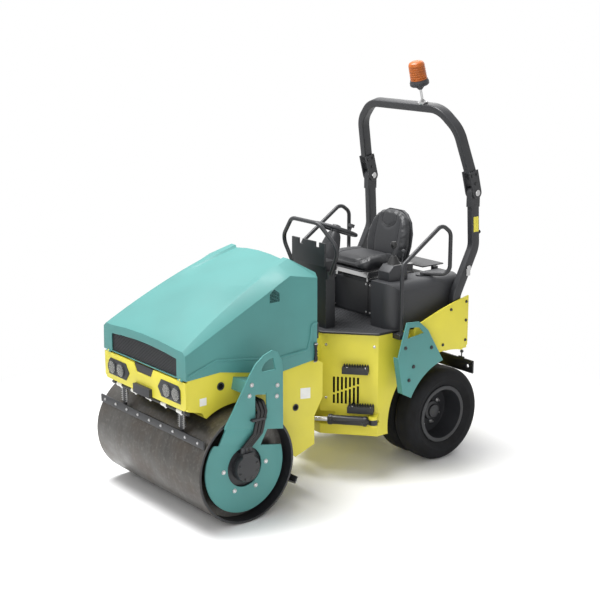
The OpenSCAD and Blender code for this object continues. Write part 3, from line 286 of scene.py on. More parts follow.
class Shape:
    """Geometry of one piece, gathered in the machine's frame in metres."""

    def __init__(self):
        self.mesh = bmesh.new()

    def face(self, verts):
        try:
            self.mesh.faces.new(verts)
        except ValueError:
            pass

    def rings(self, rings, caps=True):
        """Skin over rings of points; a ring of one point closes to a tip."""
        made = [[self.mesh.verts.new(p) for p in ring] for ring in rings]
        for low, high in zip(made, made[1:]):
            count = max(len(low), len(high))
            for i in range(count):
                j = (i + 1) % count
                corners = [low[i % len(low)], low[j % len(low)], high[j % len(high)], high[i % len(high)]]
                unique = [v for k, v in enumerate(corners) if v not in corners[:k]]
                if len(unique) > 2:
                    self.face(unique)
        if caps:
            for ring in (made[0], made[-1]):
                if len(ring) > 2:
                    self.face(ring)
        return self

    def box(self, first, second, matrix=Matrix()):
        """Block between two opposite corners."""
        (a, b, low), (c, d, high) = first, second
        plan = [(a, b), (c, b), (c, d), (a, d)]
        return self.rings([[matrix @ Vector((x, y, z)) for x, y in plan] for z in (low, high)])

    def prism(self, points, start, end, matrix=Matrix()):
        """Outline in x and z, extruded along y."""
        return self.rings([[matrix @ Vector((x, y, z)) for x, z in points] for y in (start, end)])

    def lathe(self, profile, place, axis, steps=32, ribs=0, rib_depth=0.0, caps=True):
        """Profile of (radius, height) turned about an axis; ribs wave its radius."""
        turned = Vector(axis).normalized().to_track_quat("Z", "Y").to_matrix()
        place = Vector(place)
        rings = []
        for radius, height in profile:
            if radius < 1e-6:
                rings.append([place + turned @ Vector((0, 0, height))])
                continue
            ring = []
            for i in range(steps):
                turn = 2 * math.pi * i / steps
                r = radius - rib_depth * (0.5 + 0.5 * math.cos(ribs * turn)) if ribs else radius
                ring.append(place + turned @ Vector((r * math.cos(turn), r * math.sin(turn), height)))
            rings.append(ring)
        return self.rings(rings, caps=caps)

    def rod(self, start, end, radius, steps=16):
        start, end = Vector(start), Vector(end)
        length = (end - start).length
        return self.lathe([(radius, 0), (radius, length)], start, end - start, steps)

    def tube(self, path, radius, sides=12, closed=False):
        """Round tube along points."""
        path = [Vector(p) for p in path]
        count = len(path)
        normal = None
        rings = []
        for i, p in enumerate(path):
            ahead = path[(i + 1) % count] if closed else path[min(i + 1, count - 1)]
            behind = path[i - 1] if closed else path[max(i - 1, 0)]
            along = (ahead - behind).normalized()
            normal = (normal or along.orthogonal()).normalized()
            normal = (normal - along * normal.dot(along)).normalized()
            side = along.cross(normal)
            turns = [2 * math.pi * k / sides for k in range(sides)]
            rings.append([p + radius * (normal * math.cos(t) + side * math.sin(t)) for t in turns])
        if closed:
            rings.append(rings[0])
        return self.rings(rings, caps=not closed)

    def sweep(self, path, section, normal):
        """Section of (across, along the side) points carried along a path, upright to a fixed normal."""
        path = [Vector(p) for p in path]
        normal = Vector(normal)
        rings = []
        for i, p in enumerate(path):
            along = (path[min(i + 1, len(path) - 1)] - path[max(i - 1, 0)]).normalized()
            across = (normal - along * normal.dot(along)).normalized()
            side = along.cross(across)
            rings.append([p + across * a + side * b for a, b in section])
        return self.rings(rings)

    def bolt(self, place, axis, size):
        """Hexagon head on a washer; the size is the radius over the head's corners."""
        washer_r, washer_t = size * 1.25, size * 0.22
        tip_r, flank_h, head_h = size * 0.85, size * 0.75, size * 0.9
        self.lathe([(0, 0), (washer_r, 0), (washer_r, washer_t), (0, washer_t)], place, axis, 20)
        head = [(0, washer_t), (size, washer_t), (size, flank_h), (tip_r, head_h), (0, head_h)]
        return self.lathe(head, place, axis, 6)


def shapes(count):
    """Several empty shapes."""
    return [Shape() for _ in range(count)]


def mirrored(points, side):
    """The points with y turned to a side."""
    return [(x, side * y, z) for x, y, z in points]


def there_and_back(half):
    """Half of a path, followed by its mirror image back to the other end."""
    return half + mirrored(reversed(half), -1)


def rounded(points, radius, steps=6):
    """Corner points of a path with each inner corner turned into an arc."""
    points = [Vector(p) for p in points]
    most_share = 0.49
    out = [points[0]]
    for a, b, c in zip(points, points[1:], points[2:]):
        u, v = (a - b).normalized(), (c - b).normalized()
        half = u.angle(v) / 2
        reach = min(radius / math.tan(half), (a - b).length * most_share, (c - b).length * most_share)
        centre = b + (u + v).normalized() * reach / math.cos(half)
        first, last = b + u * reach - centre, b + v * reach - centre
        swing = first.angle(last)
        for i in range(steps + 1):
            t = i / steps
            spoke = first * math.sin((1 - t) * swing) + last * math.sin(t * swing)
            out.append(centre + spoke / math.sin(swing))
    return out + [points[-1]]


def tube_section(deep, wide, corner, steps=4):
    """Outline of a rectangular tube with round corners."""
    out = []
    for k, (a, b) in enumerate(((1, 1), (-1, 1), (-1, -1), (1, -1))):
        for i in range(steps + 1):
            turn = math.pi / 2 * (k + i / steps)
            across = a * (deep / 2 - corner) + corner * math.cos(turn)
            out.append((across, b * (wide / 2 - corner) + corner * math.sin(turn)))
    return out


def squarish(half_a, half_b, power_a, power_b, steps):
    """Points of a rectangle with soft corners, as a superellipse; small powers give tight corners."""
    out = []
    for k in range(steps):
        turn = 2 * math.pi * k / steps
        c, s = math.cos(turn), math.sin(turn)
        across = half_a * math.copysign(abs(c) ** power_a, c)
        out.append((across, half_b * math.copysign(abs(s) ** power_b, s)))
    return out


def on_circle(radius, turn):
    """Point of a circle at a turn in radians."""
    return radius * math.cos(turn), radius * math.sin(turn)


def between(x, table):
    """Straight-line value of a table of (place, value) at x."""
    for (a, low), (b, high) in zip(table, table[1:]):
        if x <= b:
            return low + (high - low) * (max(x, a) - a) / (b - a)
    return table[-1][1]


SHARP_ANGLE = 35


def piece(name, shape, finish, body, bevel=0.0, hides=()):
    """Makes the shape an object of a finish, riding on a body."""
    mesh = bpy.data.meshes.new(name)
    bmesh.ops.recalc_face_normals(shape.mesh, faces=shape.mesh.faces)
    shape.mesh.to_mesh(mesh)
    shape.mesh.free()
    mesh.polygons.foreach_set("use_smooth", [True] * len(mesh.polygons))
    mesh.set_sharp_from_angle(angle=math.radians(SHARP_ANGLE))
    material, slot = EXTRA[finish] if finish in EXTRA else (MATERIALS[finish], finish)
    mesh.materials.append(material)
    made = bpy.data.objects.new(name, mesh)
    bpy.context.scene.collection.objects.link(made)
    if bevel:
        round_edges(made, bevel, 2, 40)
    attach(made, body)
    if hides:
        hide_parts(*hides)
    return made


def round_edges(made, width, segments, angle):
    """Bevels the edges that are sharper than an angle in degrees."""
    edge = made.modifiers.new("edges", "BEVEL")
    edge.width, edge.segments, edge.limit_method = width, segments, "ANGLE"
    edge.angle_limit = math.radians(angle)


# CAD nodes: widths of their rounded edges where they aren't the usual one
USUAL_BEVEL = 0.003
NODE_BEVEL = {
    "hood": 0.008, "side_fairings": 0.015, "seat_console": 0.01, "rops_hoop": 0.008, "rops_posts": 0.008,
    "rear_frame": 0.006, "drum": 0.006, "tyre_left": 0, "tyre_right": 0, "drum_hoses": 0, "link_hoses": 0,
    "side_rails": 0, "front_rail": 0, "grille": 0,
}


def smooth_by_angle(limit):
    """Node group that shades faces smooth and keeps edges sharper than the limit crisp."""
    tree = bpy.data.node_groups.new("smooth_by_angle", "GeometryNodeTree")
    for way in ("INPUT", "OUTPUT"):
        tree.interface.new_socket("Geometry", in_out=way, socket_type="NodeSocketGeometry")
    start, end = tree.nodes.new("NodeGroupInput"), tree.nodes.new("NodeGroupOutput")
    shade = tree.nodes.new("GeometryNodeSetMeshNormal")
    angle = tree.nodes.new("GeometryNodeInputMeshEdgeAngle")
    sharper = tree.nodes.new("FunctionNodeCompare")
    sharper.operation = "GREATER_THAN"
    sharper.inputs["B"].default_value = math.radians(limit)
    shade.inputs["Remove Custom"].default_value = True
    tree.links.new(start.outputs["Geometry"], shade.inputs["Mesh"])
    tree.links.new(angle.outputs["Unsigned Angle"], sharper.inputs["A"])
    tree.links.new(sharper.outputs["Result"], shade.inputs["Edge Sharpness"])
    tree.links.new(shade.outputs["Mesh"], end.inputs["Geometry"])
    return tree


def finish_nodes():
    """Gives each CAD node its finish, joined faces, softly rounded edges and smooth shading."""
    shading = smooth_by_angle(26)
    for part in frame["record"]["subparts"]:
        node = frame["nodes"][part["node"]]
        node.data.materials.clear()
        node.data.materials.append(MATERIALS[part["material_slot"]])
        node.modifiers.new("joined", "WELD").merge_threshold = 1e-5
        width = NODE_BEVEL.get(part["node"], USUAL_BEVEL)
        if width:
            round_edges(node, width, 3, 28)
        node.modifiers.new("shading", "NODES").node_group = shading


# Front half
FRONT_X = 1.412
POD_FACE = 1.417
LAMP_Z = 0.958
LAMP_Y = (0.308, 0.424)
DRUM_X, DRUM_Z, DRUM_R = 1.010, 0.407, 0.407
YOKE_FACE, DISC_FACE, PLATE_FACE = 0.712, 0.657, 0.537
LABEL_T = 0.001


def headlamps():
    """Round lamps: dark bezel, bright bowl with a bulb cap and a clear lens."""
    bezels, bowls, lenses = shapes(3)
    bezel = [(0.040, 0.0), (0.054, 0.0), (0.054, 0.006), (0.051, 0.0092), (0.047, 0.0092),
             (0.046, 0.004), (0.040, 0.0)]
    bowl = [(0, 0.0015), (0.02, 0.0018), (0.034, 0.003), (0.0462, 0.0068), (0.0462, 0.0005), (0, 0.0005)]
    bulb_cap = [(0, 0.0062), (0.008, 0.006), (0.011, 0.004), (0.011, 0.0015), (0, 0.0015)]
    lens = [(0.0462, 0.0072), (0.036, 0.0082), (0.02, 0.0088), (0, 0.009), (0, 0.0082), (0.02, 0.008),
            (0.036, 0.0074), (0.0462, 0.0066)]
    for side in SIDES:
        for y in LAMP_Y:
            place = (POD_FACE, side * y, LAMP_Z)
            bezels.lathe(bezel, place, ALONG, 40)
            bowls.lathe(bowl, place, ALONG, 40, ribs=20, rib_depth=0.0008)
            bowls.lathe(bulb_cap, place, ALONG, 24)
            lenses.lathe(lens, place, ALONG, 40)
    piece("lamp_bowls", bowls, "reflector", "front")
    piece("lamp_lenses", lenses, "lamp_glass", "front", hides=("headlamps",))
    piece("lamp_bezels", bezels, "black_plastic", "front")


def grille():
    """Fine level bars in front of a dark sheet of painted shade, on upright ribs."""
    bars, shade_sheet = shapes(2)
    half, low, high, arch = 0.43, 1.082, 1.212, 0.024
    pitch, thick, overrun = 0.0105, 0.0048, 0.004
    bar_back, bar_face, droop = 1.391, 1.404, 0.001
    rib_x, rib_half, rib_pitch, ribs_a_side = (1.384, 1.392), 0.004, 0.1, 4
    shade_sheet_x, shade_sheet_lap = (1.379, 1.383), 0.014
    z = low + 0.003
    while z < high + arch - thick:
        top = z + thick
        reach = half if top < high else half * math.sqrt(max(0, 1 - (top - high) / arch))
        slat = [(bar_back, z), (bar_face, z - droop), (bar_face + droop, top), (bar_back, top + 2 * droop)]
        bars.prism(slat, -reach - overrun, reach + overrun)
        z += pitch
    for i in range(-ribs_a_side, ribs_a_side + 1):
        y = i * rib_pitch
        top = high + arch * (1 - (y / half) ** 2)
        bars.box((rib_x[0], y - rib_half, low), (rib_x[1], y + rib_half, top))
    # Dark sheet behind the bars: painted shade standing in for the dark inside the nose
    shade_sheet.box((shade_sheet_x[0], -half - shade_sheet_lap, low), (shade_sheet_x[1], half + shade_sheet_lap, high))
    piece("grille_bars", bars, "black_plastic", "hood", hides=("grille",))
    piece("grille_shade_sheet", shade_sheet, "ink_and_painted_shade", "hood")


HOOD_REAR, HOOD_HALF = 0.275, 0.55
RIDGE_Y = [(0, 0.540), (0.8135, 0.505), (1, 0.549)]
RIDGE_Z = [(0, 1.250), (0.8135, 1.675), (1, 1.640)]
WALL_LOW = 0.974


def on_hood(side, x, z, out=0.0):
    """Point on the hood's side wall at a place along it and a height, moved outwards."""
    share = (FRONT_X - x) / (FRONT_X - HOOD_REAR)
    up = (z - WALL_LOW) / (between(share, RIDGE_Z) - WALL_LOW)
    y = HOOD_HALF + (between(share, RIDGE_Y) - HOOD_HALF) * up
    return (x, side * (y + out), z)


def hood_border():
    """Raised bead along the lower part of the hood's sides."""
    beads = Shape()
    bead_r, bend, sunk = 0.010, 0.03, 0.001
    line = [(1.395, 1.108), (1.34, 1.124), (1.155, 1.181), (0.818, 1.130), (0.606, 1.102), (0.36, 1.120),
            (0.336, 1.188), (0.318, 1.297), (0.278, 1.310)]
    for side in SIDES:
        beads.tube(rounded([on_hood(side, x, z, -sunk) for x, z in line], bend, 8), bead_r, 12)
    piece("hood_border", beads, "teal_paint", "hood")


def hood_vents():
    """Gabled vent with a wire mesh in each side of the hood, over a dark sheet of painted shade."""
    wires, shade_sheets = shapes(2)
    middle, half = 0.635, 0.045
    low, eaves, peak = 1.505, 1.570, 1.604
    pitch, wire_r, frame_r, lift = 0.010, 0.0009, 0.004, 0.001
    upright_wires, level_wires = 8, 9
    gable = [(middle - half, low), (middle + half, low), (middle + half, eaves), (middle, peak),
             (middle - half, eaves)]
    for side in SIDES:
        wires.tube([on_hood(side, x, z) for x, z in gable], frame_r, 8, closed=True)
        # Dark sheet under the mesh: painted shade standing in for the dark inside the hood
        shade_sheets.rings([[on_hood(side, x, z, out) for x, z in gable] for out in (-lift, lift)])
        for i in range(1, upright_wires + 1):
            x = middle - half + i * pitch
            top = eaves + (peak - eaves) * (1 - abs(x - middle) / half)
            wires.tube([on_hood(side, x, low, lift), on_hood(side, x, top, lift)], wire_r, 6)
        for i in range(1, level_wires + 1):
            z = low + i * pitch
            reach = half if z < eaves else half * (peak - z) / (peak - eaves)
            ends = (middle - reach, middle + reach)
            wires.tube([on_hood(side, x, z, lift) for x in ends], wire_r, 6)
    piece("hood_vent_frames", wires, "teal_paint", "hood")
    piece("hood_vent_shade_sheets", shade_sheets, "ink_and_painted_shade", "hood")


def hood_latches():
    """Ribbed rubber latches with steel clips, and the seals above them."""
    straps, clips, seals = shapes(3)
    middle, half_w = 0.293, 0.014
    outline = [(0.012, 1.02), (0.015, 1.04), (0.008, 1.075), (0.008, 1.115), (0.015, 1.145), (0.010, 1.16)]
    strap = [(middle + w, z) for w, z in outline] + [(middle - w, z) for w, z in reversed(outline)]
    strap_in, strap_out, rib_in, rib_out = 0.5515, 0.562, 0.556, 0.566
    rib_low, rib_pitch, rib_h, ribs = 1.028, 0.022, 0.008, 4
    clip = ((middle - half_w, 0.549, 1.014), (middle + half_w, 0.553, 1.03))
    pin_y, pin_z, pin_half, pin_r = 0.56, 1.152, 0.015, 0.005
    pin = ((middle - pin_half, pin_y, pin_z), (middle + pin_half, pin_y, pin_z))
    seal_x, seal_z, seal_r, sunk = 0.268, (1.19, 1.25, 1.305), 0.009, 0.006
    for side in SIDES:
        straps.prism(strap, side * strap_in, side * strap_out)
        for i in range(ribs):
            z = rib_low + i * rib_pitch
            rib = ((middle - half_w, rib_in, z), (middle + half_w, rib_out, z + rib_h))
            straps.box(*mirrored(rib, side))
        clips.box(*mirrored(clip, side))
        clips.rod(*mirrored(pin, side), pin_r)
        seals.tube([on_hood(side, seal_x, z, -sunk) for z in seal_z], seal_r, 10)
    piece("latch_straps", straps, "hose_rubber", "hood", bevel=0.002, hides=("hood_latches",))
    piece("latch_clips", clips, "bright_steel", "hood")
    piece("hood_seals", seals, "hose_rubber", "hood")


def frame_details():
    """Blank labels and capped plugs on the front frame's side plates."""
    labels, rings, caps = shapes(3)
    plates = [[(0.328, 0.744), (0.420, 0.755), (0.420, 0.836), (0.328, 0.825)],
              [(1.242, 0.876), (1.298, 0.876), (1.298, 0.93), (1.242, 0.93)]]
    plugs = ((0.465, 0.700, 0.026), (1.123, 0.988, 0.03))
    for side in SIDES:
        out = side * ACROSS
        face = side * PLATE_FACE
        for plate in plates:
            labels.prism(plate, face, face + side * LABEL_T)
        for x, z, r in plugs:
            ring = [(r, 0), (r, 0.004), (r * 0.72, 0.004), (r * 0.7, 0.0012), (0, 0.0012)]
            rings.lathe(ring, (x, face, z), out)
            caps.lathe([(r * 0.66, 0.0014), (r * 0.6, 0.003), (0, 0.003)], (x, face, z), out)
    piece("blank_plates", labels, "blank_label", "front")
    piece("side_plugs", rings, "black_plastic", "front")
    piece("side_plug_caps", caps, "ink_and_painted_shade", "front")


# Hoses from the front frame's plate to the drum motors: the middle one's route on the left side
HOSE_SHIFTS = (-0.03, 0, 0.03)
DRUM_HOSE = [(0.905, 0.5373, 0.870), (0.905, 0.687, 0.870), (0.905, 0.726, 0.810), (0.945, 0.726, 0.660),
             (1.010, 0.676, 0.550), (1.010, 0.676, 0.5203)]


def carrier_details():
    """Bolts of the drum's carriers and the motors' covers."""
    bolts, covers = shapes(2)
    bolt_size, cover_bolt = 0.013, 0.008
    plate_bolts = ((0.984, 1.012), (0.763, 0.970), (1.005, 0.938), (0.769, 0.891))
    disc_bolt_r, disc_turns = 0.182, (180, 240, 300, 360)
    cover_y, cover_bolt_r, cover_face = 0.6652, 0.079, 0.708
    cover = [(0.099, 0.0), (0.102, 0.004), (0.102, 0.030), (0.095, 0.042), (0.04, 0.0445), (0, 0.0455)]
    # Turns of the cover's bolts, in degrees, clear of the hoses at its top
    cover_turns = [22.5 + 45 * i for i in range(8) if not 0 < i < 3]
    for side in SIDES:
        out = side * ACROSS
        for x, z in plate_bolts:
            bolts.bolt((x, side * YOKE_FACE, z), out, bolt_size)
        for turn in disc_turns:
            u, v = on_circle(disc_bolt_r, math.radians(turn))
            bolts.bolt((DRUM_X + u, side * DISC_FACE, DRUM_Z + v), out, bolt_size)
        covers.lathe(cover, (DRUM_X, side * cover_y, DRUM_Z), out, 48)
        for turn in cover_turns:
            u, v = on_circle(cover_bolt_r, math.radians(turn))
            covers.bolt((DRUM_X + u, side * cover_face, DRUM_Z + v), out, cover_bolt)
    piece("carrier_bolts", bolts, "bright_steel", "front")
    piece("motor_covers", covers, "black_paint", "front")


def hose_details():
    """Fittings at both ends of the drum hoses and their clamps."""
    fittings, clamps = shapes(2)
    nut = [(0.017, 0), (0.017, 0.012), (0.0145, 0.014), (0.0145, 0.034), (0, 0.034)]
    sleeve = [(0.0145, 0.014), (0.0155, 0.016), (0.0155, 0.036), (0.0135, 0.04)]
    top_nut = [(0.0165, 0), (0.0165, 0.01), (0.0148, 0.012), (0.0148, 0.04), (0, 0.04)]
    clamp = ((0.895, 0.712, 0.752), (1.0, 0.743, 0.77))
    for side in SIDES:
        start, end = (Vector(p) for p in mirrored((DRUM_HOSE[0], DRUM_HOSE[-1]), side))
        for shift in HOSE_SHIFTS:
            fittings.lathe(nut, end + ALONG * shift, UPWARD, 6)
            fittings.lathe(sleeve, end + ALONG * shift, UPWARD, 20)
            fittings.lathe(top_nut, start + ALONG * shift, side * ACROSS, 6)
        clamps.box(*mirrored(clamp, side))
    piece("hose_fittings", fittings, "cast_dark", "front")
    piece("hose_clamps", clamps, "black_plastic", "front", bevel=0.003)


def drum_liner():
    """Black paint inside the drum's ends."""
    liner = Shape()
    profile = [(0.4025, 0.6898), (0.4025, 0.6903), (0.388, 0.6903), (0.388, 0.48), (0.3888, 0.48)]
    for side in SIDES:
        liner.lathe(profile, (DRUM_X, 0, DRUM_Z), side * ACROSS, 128, caps=False)
    piece("drum_liner", liner, "black_paint", "drum")


# Engine, within the box of its CAD node
ENGINE_LOW, ENGINE_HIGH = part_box("engine_block")
ENGINE_REAR, ENGINE_AHEAD, ENGINE_HALF = ENGINE_LOW[0], ENGINE_HIGH[0], ENGINE_HIGH[1]
ENGINE_BASE, ENGINE_TOP = ENGINE_LOW[2], ENGINE_HIGH[2]
FAN_ROOM, CASE_SHARE, ROCKER_H = 0.16, 0.62, 0.075
CASE_END = ENGINE_AHEAD - FAN_ROOM
HEAD_LOW = ENGINE_BASE + CASE_SHARE * (ENGINE_TOP - ENGINE_BASE)
HEAD_TOP = ENGINE_TOP - ROCKER_H


def engine_case(castings, covers, metal):
    """Ribbed case, cylinder head with rocker cover, head bolts, feet and the flywheel's bell."""
    rear, base, top = ENGINE_REAR, ENGINE_BASE, ENGINE_TOP
    foot_in, foot_t = 0.16, 0.03
    case_start, case_half = rear + 0.09, 0.15
    head_start, head_end, head_half = rear + 0.12, CASE_END - 0.03, 0.115
    rocker_start, rocker_end, rocker_half, rocker_gap = rear + 0.14, CASE_END - 0.05, 0.075, 0.012
    castings.box((case_start, -case_half, base + foot_t), (CASE_END, case_half, HEAD_LOW))
    castings.box((head_start, -head_half, HEAD_LOW), (head_end, head_half, HEAD_TOP))
    covers.box((rocker_start, -rocker_half, HEAD_TOP), (rocker_end, rocker_half, top - rocker_gap))
    ribs, rib_t, rib_half = 9, 0.014, 0.162
    first_rib, last_rib = rear + 0.12, CASE_END - 0.04
    rib_low, rib_high = base + 0.05, HEAD_LOW - 0.02
    bolt_y, bolt_set, bolt_size = 0.095, 0.01, 0.008
    for i in range(ribs):
        x = first_rib + i * (last_rib - first_rib) / (ribs - 1)
        castings.box((x, -rib_half, rib_low), (x + rib_t, rib_half, rib_high))
        for side in SIDES:
            metal.bolt((x + bolt_set, side * bolt_y, HEAD_TOP), UPWARD, bolt_size)
    for side in SIDES:
        castings.box((rear, side * foot_in, base), (ENGINE_AHEAD, side * ENGINE_HALF, base + foot_t))
    filler = [(0.0, 0), (0.05, 0), (0.05, 0.03), (0.028, 0.034), (0, 0.034)]
    filler_place = (rear + 0.30, 0, top - 0.034)
    covers.lathe(filler, filler_place, UPWARD, 24)
    bell = [(0, 0.0), (0.075, 0.0), (0.08, 0.045), (0.16, 0.05), (0.185, 0.06), (0.185, 0.095), (0, 0.095)]
    bell_place = (rear, 0, base + 0.19)
    castings.lathe(bell, bell_place, ALONG, 40)


def engine_cans(castings, covers):
    """Air cleaner and silencer beside the rocker cover, with their pipes."""
    can = [(0, 0), (0.05, 0), (0.068, 0.012), (0.072, 0.04), (0.069, 0.045), (0.072, 0.05),
           (0.072, 0.29), (0.06, 0.31), (0, 0.31)]
    can_y, can_x, can_z = 0.168, ENGINE_REAR + 0.14, ENGINE_TOP - 0.078
    pipe_x, pipe_top, pipe_low = ENGINE_REAR + 0.24, ENGINE_TOP - 0.12, HEAD_LOW + 0.04
    pipe_r, bend = 0.026, 0.04
    for y, shape in ((-can_y, covers), (can_y, castings)):
        shape.lathe(can, (can_x, y, can_z), ALONG, 36)
        pipe = [(pipe_x, y, pipe_top), (pipe_x, y * 0.9, pipe_low), (pipe_x, y * 0.6, pipe_low)]
        shape.tube(rounded(pipe, bend), pipe_r, 16)


def engine_drive(covers, metal):
    """Generator, pulleys and the fan in its ring."""
    dynamo_x, dynamo_y, dynamo_z = CASE_END - 0.1, 0.2, ENGINE_BASE + 0.25
    dynamo = [(0, 0), (0.05, 0), (0.056, 0.01), (0.056, 0.08), (0.03, 0.09), (0, 0.09)]
    metal.lathe(dynamo, (dynamo_x, dynamo_y, dynamo_z), ALONG, 28)
    # Places across and up, and radii, of the lower, the generator's and the upper pulley
    pulleys = ((0, ENGINE_BASE + 0.2, 0.075), (dynamo_y, dynamo_z, 0.04), (0, HEAD_LOW, 0.05))
    pulley_x = CASE_END + 0.004
    for y, z, r in pulleys:
        pulley = [(0, 0), (r, 0), (r * 0.88, 0.009), (r, 0.018), (0, 0.018)]
        covers.lathe(pulley, (pulley_x, y, z), ALONG, 32)
    fan_x, fan_gap = ENGINE_AHEAD - 0.12, 0.02
    middle = (fan_x, 0, (ENGINE_BASE + ENGINE_TOP) / 2)
    reach = (ENGINE_TOP - ENGINE_BASE) / 2 - fan_gap
    blades, pitch, blade_half, blade_t = 6, 0.5, 0.035, 0.003
    root, tip = 0.03, reach * 0.9
    for i in range(blades):
        turned = Matrix.Rotation(2 * math.pi * i / blades, 4, "X") @ Matrix.Rotation(pitch, 4, "Z")
        blade = Matrix.Translation(middle) @ turned
        covers.box((-blade_t, -blade_half, root), (blade_t, blade_half, tip), blade)
    hub = [(0, -0.03), (0.045, -0.03), (0.045, 0.02), (0, 0.02)]
    covers.lathe(hub, middle, ALONG, 24)
    inner, ring_back, ring_front = reach - 0.006, -0.03, 0.05
    ring = [(reach, ring_back), (reach, ring_front), (inner, ring_front), (inner, ring_back),
            (reach, ring_back)]
    covers.lathe(ring, middle, ALONG, 48, caps=False)


def engine_radiator(covers, cooler):
    """Radiator: core with fins between two tanks and two rails."""
    ahead, base, top, half = ENGINE_AHEAD, ENGINE_BASE, ENGINE_TOP, ENGINE_HALF
    deep, rail_w, tank_h = 0.06, 0.03, 0.04
    core_back, core_face = ahead - 0.055, ahead - 0.045
    fins, fin_t, fin_in = 44, 0.002, 0.034
    fin_back, fin_face = ahead - 0.05, ahead - 0.008
    fin_pitch = (2 * (half - fin_in) - fin_t) / (fins - 1)
    cooler.box((core_back, -half, base), (core_face, half, top))
    for y in (-half, half - rail_w):
        covers.box((ahead - deep, y, base), (ahead, y + rail_w, top))
    for z in (base, top - tank_h):
        covers.box((ahead - deep, -half + rail_w, z), (ahead, half - rail_w, z + tank_h))
    for i in range(fins):
        y = -half + fin_in + i * fin_pitch
        cooler.box((fin_back, y, base + tank_h), (fin_face, y + fin_t, top - tank_h))


def engine():
    """Engine under the hood."""
    castings, covers, cooler, metal = shapes(4)
    engine_case(castings, covers, metal)
    engine_cans(castings, covers)
    engine_drive(covers, metal)
    engine_radiator(covers, cooler)
    piece("engine_castings", castings, "cast_dark", "front", bevel=0.004, hides=("engine_block",))
    piece("engine_covers", covers, "black_paint", "front", bevel=0.002)
    piece("engine_cooler", cooler, "reflector", "front")
    piece("engine_metal", metal, "bright_steel", "front")


def scraper_details():
    """Bolts and springs of the front scraper, and the spray bar's sleeves and nozzles."""
    bolts, caps, springs = shapes(3)
    bolt_z, bolt_pitch, bolt_size, bolts_a_side = 0.652, 0.155, 0.009, 4
    bar_gap, bar_t, bar_up = 0.006, 0.012, 0.213
    bar_x = DRUM_X + math.sqrt(DRUM_R ** 2 - bar_up ** 2) + bar_gap + bar_t
    for i in range(-bolts_a_side, bolts_a_side + 1):
        bolts.bolt((bar_x, i * bolt_pitch, bolt_z), ALONG, bolt_size)
    spray_half, nozzles, spray_x, spray_z = 0.5, 5, 1.368, 0.822
    sleeve = [(0.0155, -0.034), (0.0175, -0.03), (0.0175, 0.03), (0.0155, 0.034)]
    nozzle = [(0.011, 0.012), (0.009, 0.03), (0.004, 0.034), (0, 0.034)]
    for i in range(nozzles):
        place = (spray_x, spray_half * (2 * i + 1 - nozzles) / nozzles, spray_z)
        caps.lathe(sleeve, place, ACROSS, 24)
        caps.lathe(nozzle, place, (-0.4, 0, -0.9), 12)
    coil_x, coil_y, coil_r, wire_r = 1.3455, (0.352, 0.408), 0.011, 0.0022
    coil_low, coil_h, coils, coil_steps = 0.70, 0.13, 9, 12
    post_r, post_z = 0.004, (0.69, 0.854)
    for side in SIDES:
        for y in coil_y:
            coil = []
            for k in range(coils * coil_steps + 1):
                u, v = on_circle(coil_r, 2 * math.pi * k / coil_steps)
                coil.append((coil_x + u, side * y + v, coil_low + coil_h * k / (coils * coil_steps)))
            springs.tube(coil, wire_r, 8)
            springs.rod((coil_x, side * y, post_z[0]), (coil_x, side * y, post_z[1]), post_r)
    piece("scraper_bolts", bolts, "bright_steel", "front")
    piece("spray_caps", caps, "blank_label", "front")
    piece("scraper_springs", springs, "bright_steel", "front")


# Rear half: the angled front panel runs from the corner towards the nose
CORNER = Vector((-0.320, 0.550, 0))
PANEL = Vector((0.290, -0.335, 0)).normalized()
OUTWARD = Vector((0.335, 0.290, 0)).normalized()
STEPS = ((0.025, 0.505), (0.068, 0.815))


def on_panel(side):
    """Matrix of an angled front panel: x along it from the corner, y outwards, z up."""
    place = Matrix.Translation(CORNER) @ Matrix((PANEL, OUTWARD, UPWARD)).transposed().to_4x4()
    return Matrix.Diagonal((1, side, 1, 1)) @ place


def louvre_shade_backs(shade_backs, matrix):
    """Dark sheets behind the two rows of slots: painted shade inside the panel."""
    columns, first, pitch, slot_w = 7, 0.144, 0.031, 0.017
    low, high, split_from, split_drop, bridge = 0.555, 0.770, 0.709, 0.075, 0.007
    back, front = -0.0139, -0.005
    for i in range(columns):
        x = first + pitch * i
        split = split_from - split_drop * i / (columns - 1)
        for start, end in ((low, split - bridge), (split + bridge, high)):
            shade_backs.box((x, back, start), (x + slot_w, front, end), matrix)


def step_details(teeth, bolts, matrix, out):
    """Toothed lips, grip rings and bolts of the two steps."""
    tooth_count, tooth_pitch, tooth_set, tooth_w, tip_w = 10, 0.02, 0.0005, 0.018, 0.005
    tooth_low, tooth_high, lips, lip_t = 0.0495, 0.064, (0.0, 0.066), 0.008
    ring = [(0.011, 0), (0.011, 0.004), (0.008, 0.0045), (0.008, 0)]
    ring_count, ring_set, ring_pitch, ring_y, ring_z = 6, 0.02, 0.032, 0.037, 0.008
    bolt_sets, bolt_z, bolt_size = (0.03, 0.17), 0.03, 0.008
    for start, z in STEPS:
        low, high = z + tooth_low, z + tooth_high
        for y in lips:
            for i in range(tooth_count):
                x = start + tooth_set + tooth_pitch * i
                tip = x + (tooth_w - tip_w) / 2
                tooth = [(x, low), (x + tooth_w, low), (tip + tip_w, high), (tip, high)]
                teeth.prism(tooth, y, y + lip_t, matrix)
        for i in range(ring_count):
            place = Vector((start + ring_set + i * ring_pitch, ring_y, z + ring_z))
            teeth.lathe(ring, matrix @ place, UPWARD, 16)
        for bolt_set in bolt_sets:
            bolts.bolt(matrix @ Vector((start + bolt_set, lip_t, z + bolt_z)), out, bolt_size)


